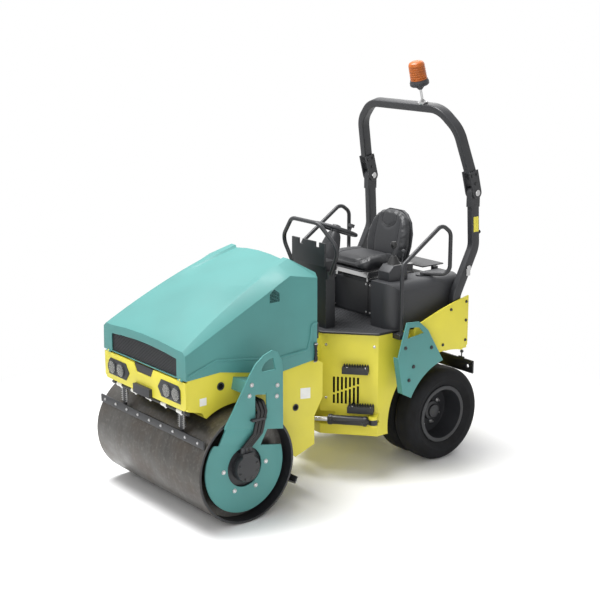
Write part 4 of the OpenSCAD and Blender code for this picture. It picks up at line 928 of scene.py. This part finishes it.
def panel_details():
    """Painted shade behind the louvres, the steps' teeth and bolts on the angled panels."""
    shade_backs, teeth, bolts = shapes(3)
    bolt_places, bolt_size = ((0.03, 0.42), (0.03, 1.02), (0.40, 1.02), (0.40, 0.60)), 0.009
    for side in SIDES:
        matrix = on_panel(side)
        out = matrix.to_3x3() @ ACROSS
        louvre_shade_backs(shade_backs, matrix)
        step_details(teeth, bolts, matrix, out)
        for x, z in bolt_places:
            bolts.bolt(matrix @ Vector((x, 0, z)), out, bolt_size)
    # Painted shade behind the louvres' slots
    piece("louvre_shade_backs", shade_backs, "ink_and_painted_shade", "rear")
    piece("step_teeth", teeth, "black_paint", "rear")
    piece("panel_bolts", bolts, "bright_steel", "rear")


def side_details():
    """Bolts on fenders and guards, and the deck's dark edge band."""
    bolts, band = shapes(2)
    fender_face, fender_bolt = 0.650, 0.010
    fender_bolts = ((-1.145, 1.27), (-1.145, 1.12), (-1.145, 0.96), (-0.98, 1.23), (-0.90, 0.96))
    guard_face, guard_bolt = 0.700, 0.012
    guard_bolts = ((-0.46, 1.02), (-0.545, 0.86), (-0.50, 0.76), (-0.73, 0.98))
    for side in SIDES:
        out = side * ACROSS
        for x, z in fender_bolts:
            bolts.bolt((x, side * fender_face, z), out, fender_bolt)
        for x, z in guard_bolts:
            bolts.bolt((x, side * guard_face, z), out, guard_bolt)
    band_z, band_r = 1.120, 0.009
    half = [(-0.6, -0.5565, band_z), (-0.3205, -0.5565, band_z), (-0.0335, -0.2365, band_z)]
    band.tube(there_and_back(half), band_r, 8)
    piece("side_bolts", bolts, "black_paint", "rear")
    piece("deck_edge", band, "hose_rubber", "rear")


def floor_studs():
    """Raised dots on the foot plate, in staggered rows clear of the dash and the seat's box."""
    dots = Shape()
    dome = [(0.009, 0), (0.008, 0.0018), (0.005, 0.003), (0, 0.0034)]
    floor_z, half = 1.128, 0.52
    rear, front, nose_half, flare = -0.58, -0.05, 0.215, 1.1
    row_pitch, dot_pitch = 0.031, 0.036
    console_x, console_half = -0.42, 0.31
    dash_rear, dash_front, dash_half = -0.2, -0.06, 0.22
    row = 0
    x = rear
    while x < front:
        y = -half + (dot_pitch / 2 if row % 2 else 0)
        while y < half:
            inside = abs(y) < nose_half + (front - x) * flare
            by_console = x <= console_x and abs(y) >= console_half
            under_dash = dash_rear < x < dash_front and abs(y) < dash_half
            if inside and not by_console and not under_dash:
                dots.lathe(dome, (x, y, floor_z), UPWARD, 10)
            y += dot_pitch
        x += row_pitch
        row += 1
    piece("floor_studs", dots, "floor_grip", "rear")


def wheel_details():
    """Nuts, valve and hub cap on each pair of wheels."""
    nuts, nut_circle, nut_y, nut_size, stud_r, stud_l = 8, 0.125, 0.428, 0.014, 0.007, 0.026
    valve_place, valve_r, valve_l = (0.02, 0.43, 0.175), 0.005, 0.06
    hub = [(0.078, 0), (0.080, 0.004), (0.076, 0.012), (0.055, 0.02), (0.05, 0.034), (0.02, 0.04), (0, 0.04)]
    hub_y = 0.4821
    for side, body in zip(SIDES, ("wheel_left", "wheel_right")):
        out = side * ACROSS
        metal, caps = shapes(2)
        for i in range(nuts):
            u, v = on_circle(nut_circle, 2 * math.pi * (i + 0.5) / nuts)
            spot = AXLE + Vector((u, side * nut_y, v))
            metal.bolt(spot, out, nut_size)
            metal.rod(spot, spot + out * stud_l, stud_r)
        valve = AXLE + Vector(mirrored([valve_place], side)[0])
        metal.rod(valve, valve + out * valve_l, valve_r)
        caps.lathe(hub, AXLE + out * hub_y, out, 40)
        piece(f"wheel_nuts_{body}", metal, "bright_steel", body)
        piece(f"hub_cap_{body}", caps, "black_paint", body)


RAM_BASE = Vector((-0.240, 0.590, 0.4533))
RAM_ALONG = Vector((0.640582, -0.76789, 0)).normalized()


def on_ram(length, out=0.0, up=0.0):
    """Point along the steering cylinder, moved away from the panel and up."""
    return RAM_BASE + RAM_ALONG * length + OUTWARD * out + UPWARD * up


def ram_details():
    """Collar, gland, ports and pipe of the steering cylinder."""
    rings, pipes = shapes(2)
    collar = [(0.036, 0), (0.040, 0.003), (0.040, 0.022), (0.0365, 0.026)]
    gland = [(0.0365, 0), (0.041, 0.004), (0.041, 0.03), (0.03, 0.036), (0.022, 0.037)]
    port = [(0.012, 0.03), (0.012, 0.046), (0.009, 0.048), (0, 0.048)]
    pipe_r, bend = 0.006, 0.02
    rings.lathe(collar, on_ram(0.05), RAM_ALONG, 40)
    rings.lathe(gland, on_ram(0.312), RAM_ALONG, 40)
    for length in (0.075, 0.30):
        rings.lathe(port, on_ram(length), OUTWARD, 6)
    pipe = [on_ram(0.30, 0.046), on_ram(0.30, 0.058), on_ram(0.27, 0.058, 0.01), on_ram(0.12, 0.056, 0.015),
            on_ram(0.06, 0.056, 0.015), on_ram(0.03, 0.03, 0.012)]
    pipes.tube(rounded(pipe, bend), pipe_r, 10)
    piece("ram_glands", rings, "black_paint", "ram_barrel")
    piece("ram_pipe", pipes, "hose_rubber", "ram_barrel")


# Operator's place
RAIL_R = 0.016


def rails():
    """Smooth round hand rails along the CAD rails' lines, with their feet."""
    both, pads = shapes(2)
    side_bend, front_bend = 0.07, 0.10
    side_line = [(-0.5, 0.604, 1.088), (-0.5, 0.604, 1.63), (-0.905, 0.604, 1.9), (-1.0, 0.604, 1.83),
                 (-1.0, 0.604, 1.4983), (-0.85, 0.43, 1.4983)]
    collar, collar_place = [(0.03, 0), (0.03, 0.006), (0.017, 0.01)], (-0.5, 0.604, 1.108)
    foot = [(0.034, -0.0158), (0.034, -0.008), (0.018, -0.004)]
    pad = ((-0.54, 0.55, 1.068), (-0.46, 0.636, 1.108))
    front_pad = ((-0.14, 0.2, 1.515), (-0.096, 0.23, 1.575))
    front_half = [(-0.118, 0.22, 1.545), (-0.097, 0.342, 1.76), (-0.05, 0.166, 1.942)]
    front = Shape().tube(rounded(there_and_back(front_half), front_bend, 14), RAIL_R, 18)
    for side in SIDES:
        line = mirrored(side_line, side)
        both.tube(rounded(line, side_bend, 10), RAIL_R, 18)
        both.lathe(collar, mirrored([collar_place], side)[0], UPWARD, 24)
        both.lathe(foot, line[-1], UPWARD, 24)
        pads.box(*mirrored(pad, side))
        front.box(*mirrored(front_pad, side))
    piece("side_rail_tubes", both, "black_paint", "rear", hides=("side_rails",))
    piece("rail_feet", pads, "black_paint", "rear", bevel=0.004)
    piece("front_rail_tube", front, "black_paint", "rear", hides=("front_rail",))


def hoses():
    """Smooth hoses along the CAD hoses' lines."""
    drum, link = shapes(2)
    bend, drum_r, link_r = 0.03, 0.013, 0.012
    link_line, link_y = [(-0.0297, 0.636), (0.0403, 0.636), (0.0403, 0.552), (-0.0297, 0.552)], (0.140, 0.170)
    nut, nut_x = [(0.016, 0), (0.016, 0.012), (0.0135, 0.014), (0.0135, 0.02)], -0.0299
    for side in SIDES:
        for shift in HOSE_SHIFTS:
            path = [Vector(p) + ALONG * shift for p in mirrored(DRUM_HOSE, side)]
            drum.tube(rounded(path, bend, 8), drum_r, 14)
    for y in link_y:
        link.tube(rounded([(x, y, z) for x, z in link_line], bend, 8), link_r, 14)
        for _, z in link_line[1:3]:
            link.lathe(nut, (nut_x, y, z), ALONG, 6)
    piece("drum_hose_runs", drum, "hose_rubber", "front", hides=("drum_hoses",))
    piece("link_hose_runs", link, "hose_rubber", "rear", hides=("link_hoses",))


WHEEL = Vector((-0.352, 0, 1.842))
WHEEL_AXIS = Vector((-0.374607, 0, 0.927184))
DASH_BACK = -0.182


def dash_details():
    """Column shroud, dials, switches and the steering wheel's centre cap."""
    shroud, dials, faces, hub = shapes(4)
    along = Matrix.Translation(WHEEL) @ WHEEL_AXIS.to_track_quat("Z", "Y").to_matrix().to_4x4()
    # Places along the column with the shroud's half sizes there
    sections = ((-0.42, 0.075, 0.07), (-0.30, 0.085, 0.075), (-0.12, 0.07, 0.06), (-0.05, 0.052, 0.048),
                (-0.026, 0.04, 0.038))
    rings = []
    for length, a, b in sections:
        rings.append([along @ Vector((u, v, length)) for u, v in squarish(a, b, 0.7, 0.7, 28)])
    shroud.rings(rings)
    dial_z = 1.60
    for y, r in ((-0.13, 0.032), (-0.05, 0.024), (0.05, 0.024), (0.13, 0.032)):
        place = (DASH_BACK, y, dial_z)
        rim = [(r, 0), (r, 0.007), (r * 0.86, 0.008), (r * 0.84, 0.003), (0, 0.003)]
        dials.lathe(rim, place, -ALONG, 28)
        faces.lathe([(r * 0.8, 0.0035), (0, 0.0042)], place, -ALONG, 28)
    switches, switch_y, switch_pitch, switch_w, switch_t = 6, -0.14, 0.05, 0.025, 0.012
    switch_z = (1.528, 1.556)
    for i in range(switches):
        y = switch_y + switch_pitch * i
        dials.box((DASH_BACK - switch_t, y, switch_z[0]), (DASH_BACK, y + switch_w, switch_z[1]))
    cap = [(0.034, 0.018), (0.036, 0.022), (0.03, 0.032), (0.012, 0.036), (0, 0.036)]
    hub.lathe(cap, WHEEL, WHEEL_AXIS, 28)
    piece("column_shroud", shroud, "black_plastic", "rear")
    piece("dash_dials", dials, "black_plastic", "rear")
    piece("dial_faces", faces, "reflector", "rear")
    piece("wheel_cap", hub, "black_plastic", "steering_wheel")


def lever_details():
    """Ribbed boot and grip of the drive lever, the console's silver top and a ball-ended lever."""
    boot, plate, ball = shapes(3)
    top_z = 1.600
    lever_x, lever_y, grip_z = -0.600, 0.3975, 1.750
    folds, boot_h, boot_low_r, boot_high_r = 8, 0.0605, 0.048, 0.019
    fold_out, fold_in, fold_h = 0.004, 0.0015, 0.0035
    profile = []
    for i in range(folds + 1):
        h = boot_h * i / folds
        r = boot_low_r - (boot_low_r - boot_high_r) * i / folds
        profile += [(r + fold_out, h), (r + fold_in, h + fold_h)]
    profile += [(0.011, 0.066), (0, 0.066)]
    boot.lathe(profile, (lever_x, lever_y, top_z), UPWARD, 28)
    grip = [(0, -0.03), (0.014, -0.028), (0.026, -0.006), (0.027, 0.006), (0.018, 0.024), (0, 0.028)]
    boot.lathe(grip, (lever_x, lever_y, grip_z), UPWARD, 24)
    sheet = ((-0.684, 0.341, top_z), (-0.552, 0.454, 1.603))
    plate.box(*sheet)
    rod_low, rod_high, rod_r = (-0.655, 0.43, top_z), (-0.66, 0.44, 1.69), 0.005
    ball.rod(rod_low, rod_high, rod_r)
    knob = [(0, -0.016), (0.011, -0.011), (0.016, 0), (0.011, 0.011), (0, 0.016)]
    knob_place = (-0.66, 0.44, 1.70)
    ball.lathe(knob, knob_place, UPWARD, 18)
    piece("lever_boot", boot, "hose_rubber", "rear")
    piece("lever_plate", plate, "bright_steel", "rear")
    piece("small_lever", ball, "black_plastic", "rear")


def console_details():
    """Panels and bolts on the front of the seat's box."""
    panels, bolts = shapes(2)
    back, face, low, high = -0.600, -0.596, 1.142, 1.404
    edge_y, edge_z, bolt_size = 0.02, 0.018, 0.007
    for start, end in ((-0.312, 0.108), (0.116, 0.312)):
        panels.box((back, start, low), (face, end, high))
        for y in (start + edge_y, end - edge_y):
            for z in (low + edge_z, high - edge_z):
                bolts.bolt((face, y, z), ALONG, bolt_size)
    piece("console_panels", panels, "black_paint", "rear", bevel=0.002)
    piece("console_bolts", bolts, "bright_steel", "rear")


# Roll hoop and beacon
HINGE = Vector((-1.233, 0, 2.118))
HOOP_Y = 0.604
LEAN = math.radians(15)
UP = Vector((math.sin(LEAN), 0, math.cos(LEAN)))
AHEAD = Vector((math.cos(LEAN), 0, -math.sin(LEAN)))
TUBE_DEEP, TUBE_CORNER = 0.080, 0.011
EAR_R, EAR_T, EAR_Y = 0.046, 0.014, (0.559, 0.635)


def hoop_tubes():
    """Posts and hoop of the same section and bends as the CAD tubes, with finer bends and soft corners."""
    posts, hoop = shapes(2)
    at_hoop = Matrix.Translation(HINGE) @ Matrix.Rotation(LEAN, 4, "Y")
    hoop_wide, hoop_bend, post_wide, post_bend, bend_steps = 0.062, 0.22, 0.060, 0.16, 16
    ear_low, ear_high = 0.118, 0.178
    half = [(0, HOOP_Y, ear_low), (0, HOOP_Y, ear_high), (0, 0.556, 0.5016), (0, 0.3976, 0.660)]
    path = rounded(there_and_back(half), hoop_bend, bend_steps)
    hoop.sweep([at_hoop @ p for p in path], tube_section(TUBE_DEEP, hoop_wide, TUBE_CORNER), AHEAD)
    ear = [(-EAR_R, ear_high), (EAR_R, ear_high)] + [on_circle(EAR_R, -math.pi * k / 16) for k in range(17)]
    block = ((-TUBE_DEEP / 2, 0.573, ear_low), (TUBE_DEEP / 2, 0.635, ear_high))
    post_line = [(-1.060, 1.108), (-1.060, 1.320), (-1.252, 1.690), (-1.233, 2.033)]
    post_section = tube_section(TUBE_DEEP, post_wide, TUBE_CORNER)
    tongue_half, tongue_low = 0.029, 2.004
    for side in SIDES:
        bent = rounded([(x, side * HOOP_Y, z) for x, z in post_line], post_bend, bend_steps)
        posts.sweep(bent, post_section, ALONG)
        pivot = HINGE + ACROSS * side * HOOP_Y
        posts.lathe([(EAR_R, -tongue_half), (EAR_R, tongue_half)], pivot, ACROSS, 40)
        posts.box((HINGE.x - EAR_R, pivot.y - tongue_half, tongue_low),
                  (HINGE.x + EAR_R, pivot.y + tongue_half, HINGE.z))
        for y in EAR_Y:
            hoop.prism(ear, side * y, side * (y + EAR_T), at_hoop)
        hoop.box(*mirrored(block, side), at_hoop)
    piece("post_tubes", posts, "black_paint", "rear", bevel=0.003, hides=("rops_posts",))
    piece("hoop_tube", hoop, "black_paint", "rops", bevel=0.003, hides=("rops_hoop",))


def rear_knobs():
    """Knob on the left post and the coupling pin's handle on the rear bar."""
    knobs = Shape()
    post_knob = [(0.006, 0), (0.006, 0.014), (0.014, 0.016), (0.016, 0.022), (0.012, 0.03), (0, 0.031)]
    knob_place = (-1.286, HOOP_Y, 1.80)
    knobs.lathe(post_knob, knob_place, -ALONG, 20)
    bar_x, bar_top, pin_r, plate_half = -1.307, 0.742, 0.005, 0.006
    pin_low, pin_high, ball_place = (bar_x, 0.455, bar_top), (bar_x, 0.457, 0.785), (bar_x, 0.458, 0.795)
    ball = [(0, -0.015), (0.011, -0.01), (0.015, 0), (0.011, 0.01), (0, 0.015)]
    plate = ((bar_x - plate_half, 0.425, bar_top), (bar_x + plate_half, 0.485, 0.752))
    knobs.rod(pin_low, pin_high, pin_r)
    knobs.lathe(ball, ball_place, UPWARD, 18)
    knobs.box(*plate)
    piece("rear_knobs", knobs, "black_plastic", "rear")


def hoop_details():
    """Pins, bolts, blank label, lock and knobs of the roll hoop and its posts."""
    pins, bolts, label, lock = shapes(4)
    head = [(0, 0), (0.024, 0), (0.024, 0.005), (0.02, 0.009), (0, 0.009)]
    ear_bolts, bolt_size = ((0.024, 0.145), (-0.024, 0.145), (0, 0.075)), 0.011
    for side in SIDES:
        for y, way in ((EAR_Y[1] + EAR_T, 1), (EAR_Y[0], -1)):
            out = ACROSS * side * way
            face = HINGE + ACROSS * side * y
            pins.lathe(head, face, out, 28)
            for u, v in ear_bolts:
                bolts.bolt(face + AHEAD * u + UP * v, out, bolt_size)
    post_face = 0.634
    plate = [(-1.272, 1.81), (-1.219, 1.81), (-1.213, 1.93), (-1.266, 1.93)]
    label.prism(plate, post_face, post_face + LABEL_T)
    lock_x, lock_z, lock_face, lock_r = -1.17, 1.535, 0.648, 0.02
    hasp = ((lock_x - lock_r, 0.6345, 1.47), (lock_x + lock_r, 0.641, 1.53))
    lock.rod((lock_x, post_face, lock_z), (lock_x, lock_face, lock_z), lock_r, 24)
    lock.box(*hasp)
    rear_knobs()
    piece("hinge_pins", pins, "bright_steel", "rear")
    piece("hinge_bolts", bolts, "black_paint", "rops")
    piece("post_label", label, "yellow_label", "rear")
    piece("post_lock", lock, "bright_steel", "rear", bevel=0.003)


def beacon():
    """Ribbed lens on a dark base with a cone neck."""
    foot_up, foot_y = 0.6913, 0.207
    foot = HINGE + UP * foot_up + ACROSS * foot_y
    base, lens, bolts = shapes(3)
    neck = [(0.014, 0.110), (0.02, 0.116), (0.040, 0.140), (0.066, 0.143), (0.074, 0.150), (0.074, 0.176),
            (0.070, 0.182), (0.070, 0.190), (0, 0.190)]
    base.lathe(neck, foot, UP, 48)
    bands, band_low, band_pitch = 4, 0.152, 0.006
    for i in range(bands):
        h = band_low + band_pitch * i
        base.lathe([(0.0745, h), (0.0755, h + 0.0025), (0.0745, h + 0.005)], foot, UP, 48)
    ribs, rib_low, rib_pitch, rib_r, rib_out, taper = 6, 0.204, 0.018, 0.0625, 0.003, 0.0004
    profile = [(0.066, 0.1905), (0.066, 0.202)]
    for i in range(ribs):
        h = rib_low + rib_pitch * i
        r = rib_r - taper * i
        profile += [(r, h), (r + rib_out, h + 0.004), (r + rib_out, h + 0.012), (r, h + 0.016)]
    profile += [(0.060, 0.316), (0.052, 0.327), (0.036, 0.334), (0.016, 0.336), (0, 0.336)]
    lens.lathe(profile, foot, UP, 72)
    plate_t, bolt_circle, bolt_size = 0.014, 0.026, 0.006
    stalk_nut = [(0.012, plate_t), (0.014, 0.02), (0.014, 0.034), (0.0105, 0.038)]
    bolts.lathe(stalk_nut, foot, UP, 6)
    for x, y in ((bolt_circle, 0), (-bolt_circle, 0), (0, bolt_circle), (0, -bolt_circle)):
        bolts.bolt(foot + UP * plate_t + AHEAD * x + ACROSS * y, UP, bolt_size)
    piece("beacon_lens", lens, "beacon_orange", "rops", hides=("beacon",))
    piece("beacon_base", base, "black_plastic", "rops")
    piece("beacon_fixings", bolts, "bright_steel", "rops")


# Seat
def grid_pad(outline, under, upper, matrix):
    """Closed pad over a grid; the outline gives half widths, and two functions give its faces' heights."""
    shape = Shape()
    rows, columns = len(outline), 25
    sheets = []
    for height in (under, upper):
        sheet = []
        for i, (x, half) in enumerate(outline):
            line = []
            for k in range(columns):
                y = half * (2 * k / (columns - 1) - 1)
                line.append(shape.mesh.verts.new(matrix @ Vector((x, y, height(i / (rows - 1), y)))))
            sheet.append(line)
        sheets.append(sheet)
    for sheet in sheets:
        for i in range(rows - 1):
            for k in range(columns - 1):
                shape.face([sheet[i][k], sheet[i + 1][k], sheet[i + 1][k + 1], sheet[i][k + 1]])
    rim = [(0, k) for k in range(columns)] + [(i, columns - 1) for i in range(1, rows)]
    rim += [(rows - 1, k) for k in range(columns - 2, -1, -1)] + [(i, 0) for i in range(rows - 2, 0, -1)]
    for (i, k), (m, n) in zip(rim, rim[1:] + rim[:1]):
        shape.face([sheets[0][i][k], sheets[0][m][n], sheets[1][m][n], sheets[1][i][k]])
    return shape


def spaced(plan, count):
    """The plan's half widths at evenly spaced places along it."""
    start, end = plan[0][0], plan[-1][0]
    places = [start + (end - start) * k / count for k in range(count + 1)]
    return [(x, between(x, plan)) for x in places]


def current_mesh(made):
    """The object as its modifiers leave it."""
    return made.evaluated_get(bpy.context.evaluated_depsgraph_get())


def puff(pad, voxel=0.006, most=0.016, evening=10, moments=20):
    """Fills a pad: remeshed, swelled as cloth under pressure, held within a limit and evened out."""
    scene = bpy.context.scene
    remesh = pad.modifiers.new("voxels", "REMESH")
    remesh.mode, remesh.voxel_size = "VOXEL", voxel
    pad.data = bpy.data.meshes.new_from_object(current_mesh(pad))
    pad.modifiers.clear()
    rest = [v.co.copy() for v in pad.data.vertices]
    cloth = pad.modifiers.new("filling", "CLOTH")
    cloth.settings.quality = 4
    cloth.settings.use_pressure = True
    cloth.settings.uniform_pressure_force = 4
    cloth.settings.effector_weights.gravity = 0
    cloth.settings.tension_stiffness = cloth.settings.compression_stiffness = 25
    cloth.point_cache.frame_start, cloth.point_cache.frame_end = 1, moments
    for moment in range(1, moments + 1):
        scene.frame_set(moment)
    moved = [v.co.copy() for v in current_mesh(pad).data.vertices]
    pad.modifiers.clear()
    for vertex, start, end in zip(pad.data.vertices, rest, moved):
        step = end - start
        vertex.co = start + step * min(1, most / max(step.length, 1e-9))
    skin = bmesh.new()
    skin.from_mesh(pad.data)
    axes = {"use_axis_x": True, "use_axis_y": True, "use_axis_z": True}
    for _ in range(evening):
        bmesh.ops.smooth_vert(skin, verts=skin.verts, factor=0.5, **axes)
    skin.to_mesh(pad.data)
    skin.free()
    scene.frame_set(1)


def sew(pad, seam, depth=0.006, reach=0.016):
    """Pulls the pad in along the points of a seam."""
    for vertex in pad.data.vertices:
        near = min((vertex.co - p).length for p in seam)
        if near < reach * 2:
            vertex.co -= vertex.normal * depth * math.exp(-(near / reach) ** 2)
    pad.data.update()


def on_surface(pad, line, towards, start=0.3):
    """Points dropped onto the pad along a direction."""
    tree = BVHTree.FromObject(pad, bpy.context.evaluated_depsgraph_get())
    towards = Vector(towards).normalized()
    hits = [tree.ray_cast(Vector(p) - towards * start, towards)[0] for p in line]
    return [hit for hit in hits if hit is not None]


def soften(pad):
    """One subdivision over smooth shading."""
    pad.data.polygons.foreach_set("use_smooth", [True] * len(pad.data.polygons))
    level = pad.modifiers.new("smooth", "SUBSURF")
    level.levels = level.render_levels = 1


def dense(points, count=60):
    """Evenly spread points along a broken line."""
    points = [Vector(p) for p in points]
    lengths = [(b - a).length for a, b in zip(points, points[1:])]
    total, out = sum(lengths), []
    for k in range(count + 1):
        left = total * k / count
        for (a, b), length in zip(zip(points, points[1:]), lengths):
            if left <= length or b is points[-1]:
                out.append(a.lerp(b, min(1, left / length)))
                break
            left -= length
    return out


def cushion_pad():
    """Seat cushion with raised sides and a rolled front edge, before it is filled."""
    plan = [(-0.805, 0.19), (-0.785, 0.215), (-0.62, 0.230), (-0.50, 0.230), (-0.455, 0.212), (-0.430, 0.172)]
    low, high, crown, crown_at = 1.537, 1.602, 0.008, 0.4
    bolster_h, bolster_from, bolster_w = 0.020, 0.13, 0.1
    roll_drop, roll_from, roll_l, under_share = 0.035, 0.7, 0.3, 0.4

    def bolster(y):
        return bolster_h * max(0, (abs(y) - bolster_from) / bolster_w) ** 1.5

    def roll(t):
        return roll_drop * max(0, (t - roll_from) / roll_l) ** 2

    def under(t, y):
        return low + under_share * roll(t)

    def upper(t, y):
        return high + bolster(y) - roll(t) + crown * math.cos(math.pi * (t - crown_at))

    shape = grid_pad(spaced(plan, 24), under, upper, Matrix())
    return piece("seat_pad", shape, "seat_vinyl", "rear", hides=("seat_cushion",))


BACK_LEAN = Matrix.Translation((-0.822, 0, 1.510)) @ Matrix.Rotation(math.radians(-10), 4, "Y")
BACK_UP = BACK_LEAN @ Matrix(((0, 0, 1, 0), (0, 1, 0, 0), (1, 0, 0, 0), (0, 0, 0, 1)))


def back_pad():
    """Egg-shaped backrest with curled wings, before it is filled; x runs up it and z ahead."""
    plan = [(0.022, 0.165), (0.06, 0.203), (0.17, 0.226), (0.27, 0.224), (0.35, 0.202), (0.40, 0.168),
            (0.435, 0.12), (0.45, 0.07)]
    rear, face, crown, crown_at = -0.086, -0.032, 0.010, 0.25
    wing_h, wing_from, wing_w, wing_fade, rear_share = 0.026, 0.12, 0.105, 0.5, 0.3

    def curl(y):
        return wing_h * max(0, (abs(y) - wing_from) / wing_w) ** 1.4

    def behind(t, y):
        return rear + rear_share * curl(y)

    def before(t, y):
        return face + curl(y) * (1 - wing_fade * t) + crown * math.cos(math.pi * (t - crown_at))

    shape = grid_pad(spaced(plan, 28), behind, before, BACK_UP)
    return piece("seat_backrest", shape, "seat_vinyl", "rear", hides=("seat_back",))


def stitch(pad, line, towards, piping):
    """Draws one seam into the pad and lays piping along it."""
    bend, piping_r = 0.05, 0.0026
    line = dense(rounded(line, bend))
    sew(pad, on_surface(pad, line, towards))
    piping.tube(on_surface(pad, line, towards), piping_r, 8)


def seat():
    """Filled seat cushion and backrest with sewn seams and piping."""
    cushion, back = cushion_pad(), back_pad()
    puff(cushion)
    puff(back)
    piping = Shape()
    seam_z = 1.6
    border = there_and_back([(-0.79, 0.15, seam_z), (-0.5, 0.15, seam_z), (-0.465, 0.1, seam_z)])
    stitch(cushion, border, -UPWARD, piping)
    hang = [(0.445, -0.07), (0.33, -0.085), (0.295, 0), (0.33, 0.085), (0.445, 0.07)]
    wings = [[(0.385, side * 0.13), (0.20, side * 0.135), (0.05, side * 0.115)] for side in SIDES]
    into_back = BACK_LEAN.to_3x3() @ -ALONG
    for line in [hang] + wings:
        stitch(back, [BACK_UP @ Vector((h, y, 0)) for h, y in line], into_back, piping)
    for pad in (cushion, back):
        soften(pad)
    piece("seat_piping", piping, "seat_vinyl", "rear")


def seat_frame():
    """Pan under the cushion, shell behind the backrest and the slides."""
    pan, shell, slides = shapes(3)
    tray = ((-0.80, -0.2, 1.5205), (-0.44, 0.2, 1.532))
    pan.box(*tray)
    # Heights up the shell with its half width there
    sections = ((0.015, 0.15), (0.06, 0.20), (0.17, 0.222), (0.27, 0.22), (0.36, 0.19), (0.42, 0.135),
                (0.445, 0.08))
    shell_x, shell_half_t = -0.094, 0.014
    rings = []
    for h, half in sections:
        outline = squarish(shell_half_t, half, 0.5, 0.4, 24)
        rings.append([BACK_LEAN @ Vector((shell_x + u, v, h)) for u, v in outline])
    shell.rings(rings)
    slide = ((-0.86, 0.2, 1.47), (-0.50, 0.212, 1.515))
    for side in SIDES:
        slides.box(*mirrored(slide, side))
    piece("seat_pan", pan, "black_plastic", "rear", bevel=0.004)
    piece("seat_shell", shell, "black_plastic", "rear")
    piece("seat_slides", slides, "bright_steel", "rear", bevel=0.002)


# Camera and light
SOFT_LIGHT = 0.5
LIGHT_AIM = Vector((0, 0, 1))
LIGHTS = (("key", (1.8, -2.0, 9.5), 5, 1350), ("fill", (7, 6, 4), 6, 220), ("back", (-6, -3, 7), 6, 220))
CAMERA_PLACE = (6.0965, 7.7305, 3.7226)
CAMERA_YAW, CAMERA_PITCH = math.radians(231.74), math.radians(13.66)
CAMERA_LENS, CAMERA_SENSOR = 79.27, 36


def put(name, data, place, towards):
    """Camera or light at a place, looking along a direction."""
    rig = bpy.data.objects.new(name, data)
    rig.location = place
    rig.rotation_euler = towards.to_track_quat("-Z", "Y").to_euler()
    bpy.context.scene.collection.objects.link(rig)
    return rig


def camera():
    """Camera at the photograph's place and angle."""
    level = math.cos(CAMERA_PITCH)
    look = Vector((level * math.cos(CAMERA_YAW), level * math.sin(CAMERA_YAW), -math.sin(CAMERA_PITCH)))
    data = bpy.data.cameras.new("camera")
    data.sensor_width = CAMERA_SENSOR
    data.lens = CAMERA_LENS
    data.clip_end = 200
    bpy.context.scene.camera = put("camera", data, CAMERA_PLACE, look)


def seen(nodes, links):
    """One for what is seen directly, in a reflection or through glass, and zero for soft light."""
    path = nodes.new("ShaderNodeLightPath")
    total = path.outputs["Is Camera Ray"]
    for ray in ("Is Glossy Ray", "Is Transmission Ray"):
        join = nodes.new("ShaderNodeMath")
        join.operation = "MAXIMUM"
        links.new(total, join.inputs[0])
        links.new(path.outputs[ray], join.inputs[1])
        total = join.outputs["Value"]
    return total


def sky():
    """White surroundings that give less soft light than they show."""
    world = bpy.data.worlds.new("studio")
    bpy.context.scene.world = world
    world.use_nodes = True
    nodes, links = world.node_tree.nodes, world.node_tree.links
    level = nodes.new("ShaderNodeMapRange")
    level.inputs["To Min"].default_value = SOFT_LIGHT
    level.inputs["To Max"].default_value = 1.0
    links.new(seen(nodes, links), level.inputs["Value"])
    background = nodes["Background"]
    background.inputs["Color"].default_value = PURE_WHITE
    links.new(level.outputs["Result"], background.inputs["Strength"])


def floor_finish():
    """Pale matt floor that turns into the white of the surroundings away from the machine."""
    plain_reach, white_reach = 1.4, 3.6
    pale, paler = (0.93, 0.93, 0.93, 1), (0.95, 0.95, 0.95, 1)
    finish = Finish("floor_white")
    spots = finish.noise(4, 3)
    finish.colour(finish.ramp(spots, [(0.3, pale), (0.7, paler)]))
    finish.roughness(finish.spread(spots, 0.85, 0.95))
    glow = finish.nodes.new("ShaderNodeEmission")
    glow.inputs["Color"].default_value = PURE_WHITE
    blend = finish.nodes.new("ShaderNodeMixShader")
    away = finish.spread(finish.vector("LENGTH", finish.coords), 0, 1, plain_reach, white_reach)
    finish.links.new(finish.maths("MULTIPLY", away, seen(finish.nodes, finish.links)), blend.inputs["Fac"])
    finish.links.new(finish.shader.outputs["BSDF"], blend.inputs[1])
    finish.links.new(glow.outputs["Emission"], blend.inputs[2])
    finish.links.new(blend.outputs["Shader"], finish.nodes["Material Output"].inputs["Surface"])
    return finish.material


def studio():
    """Pale floor and soft light."""
    mesh = bpy.data.meshes.new("floor")
    reach = 60
    corners = [(-reach, -reach, 0), (reach, -reach, 0), (reach, reach, 0), (-reach, reach, 0)]
    mesh.from_pydata(corners, [], [(0, 1, 2, 3)])
    floor = bpy.data.objects.new("floor", mesh)
    bpy.context.scene.collection.objects.link(floor)
    mesh.materials.append(floor_finish())
    sky()
    for name, place, size, power in LIGHTS:
        lamp = bpy.data.lights.new(name, "AREA")
        lamp.size = size
        lamp.energy = power
        put(name, lamp, place, LIGHT_AIM - Vector(place))
    bpy.context.scene.view_settings.view_transform = "Standard"


camera()
finish_nodes()
headlamps()
grille()
hood_border()
hood_vents()
hood_latches()
frame_details()
carrier_details()
hose_details()
drum_liner()
engine()
scraper_details()
panel_details()
side_details()
floor_studs()
wheel_details()
ram_details()
rails()
hoses()
dash_details()
lever_details()
console_details()
hoop_tubes()
hoop_details()
beacon()
seat_frame()
seat()
studio()
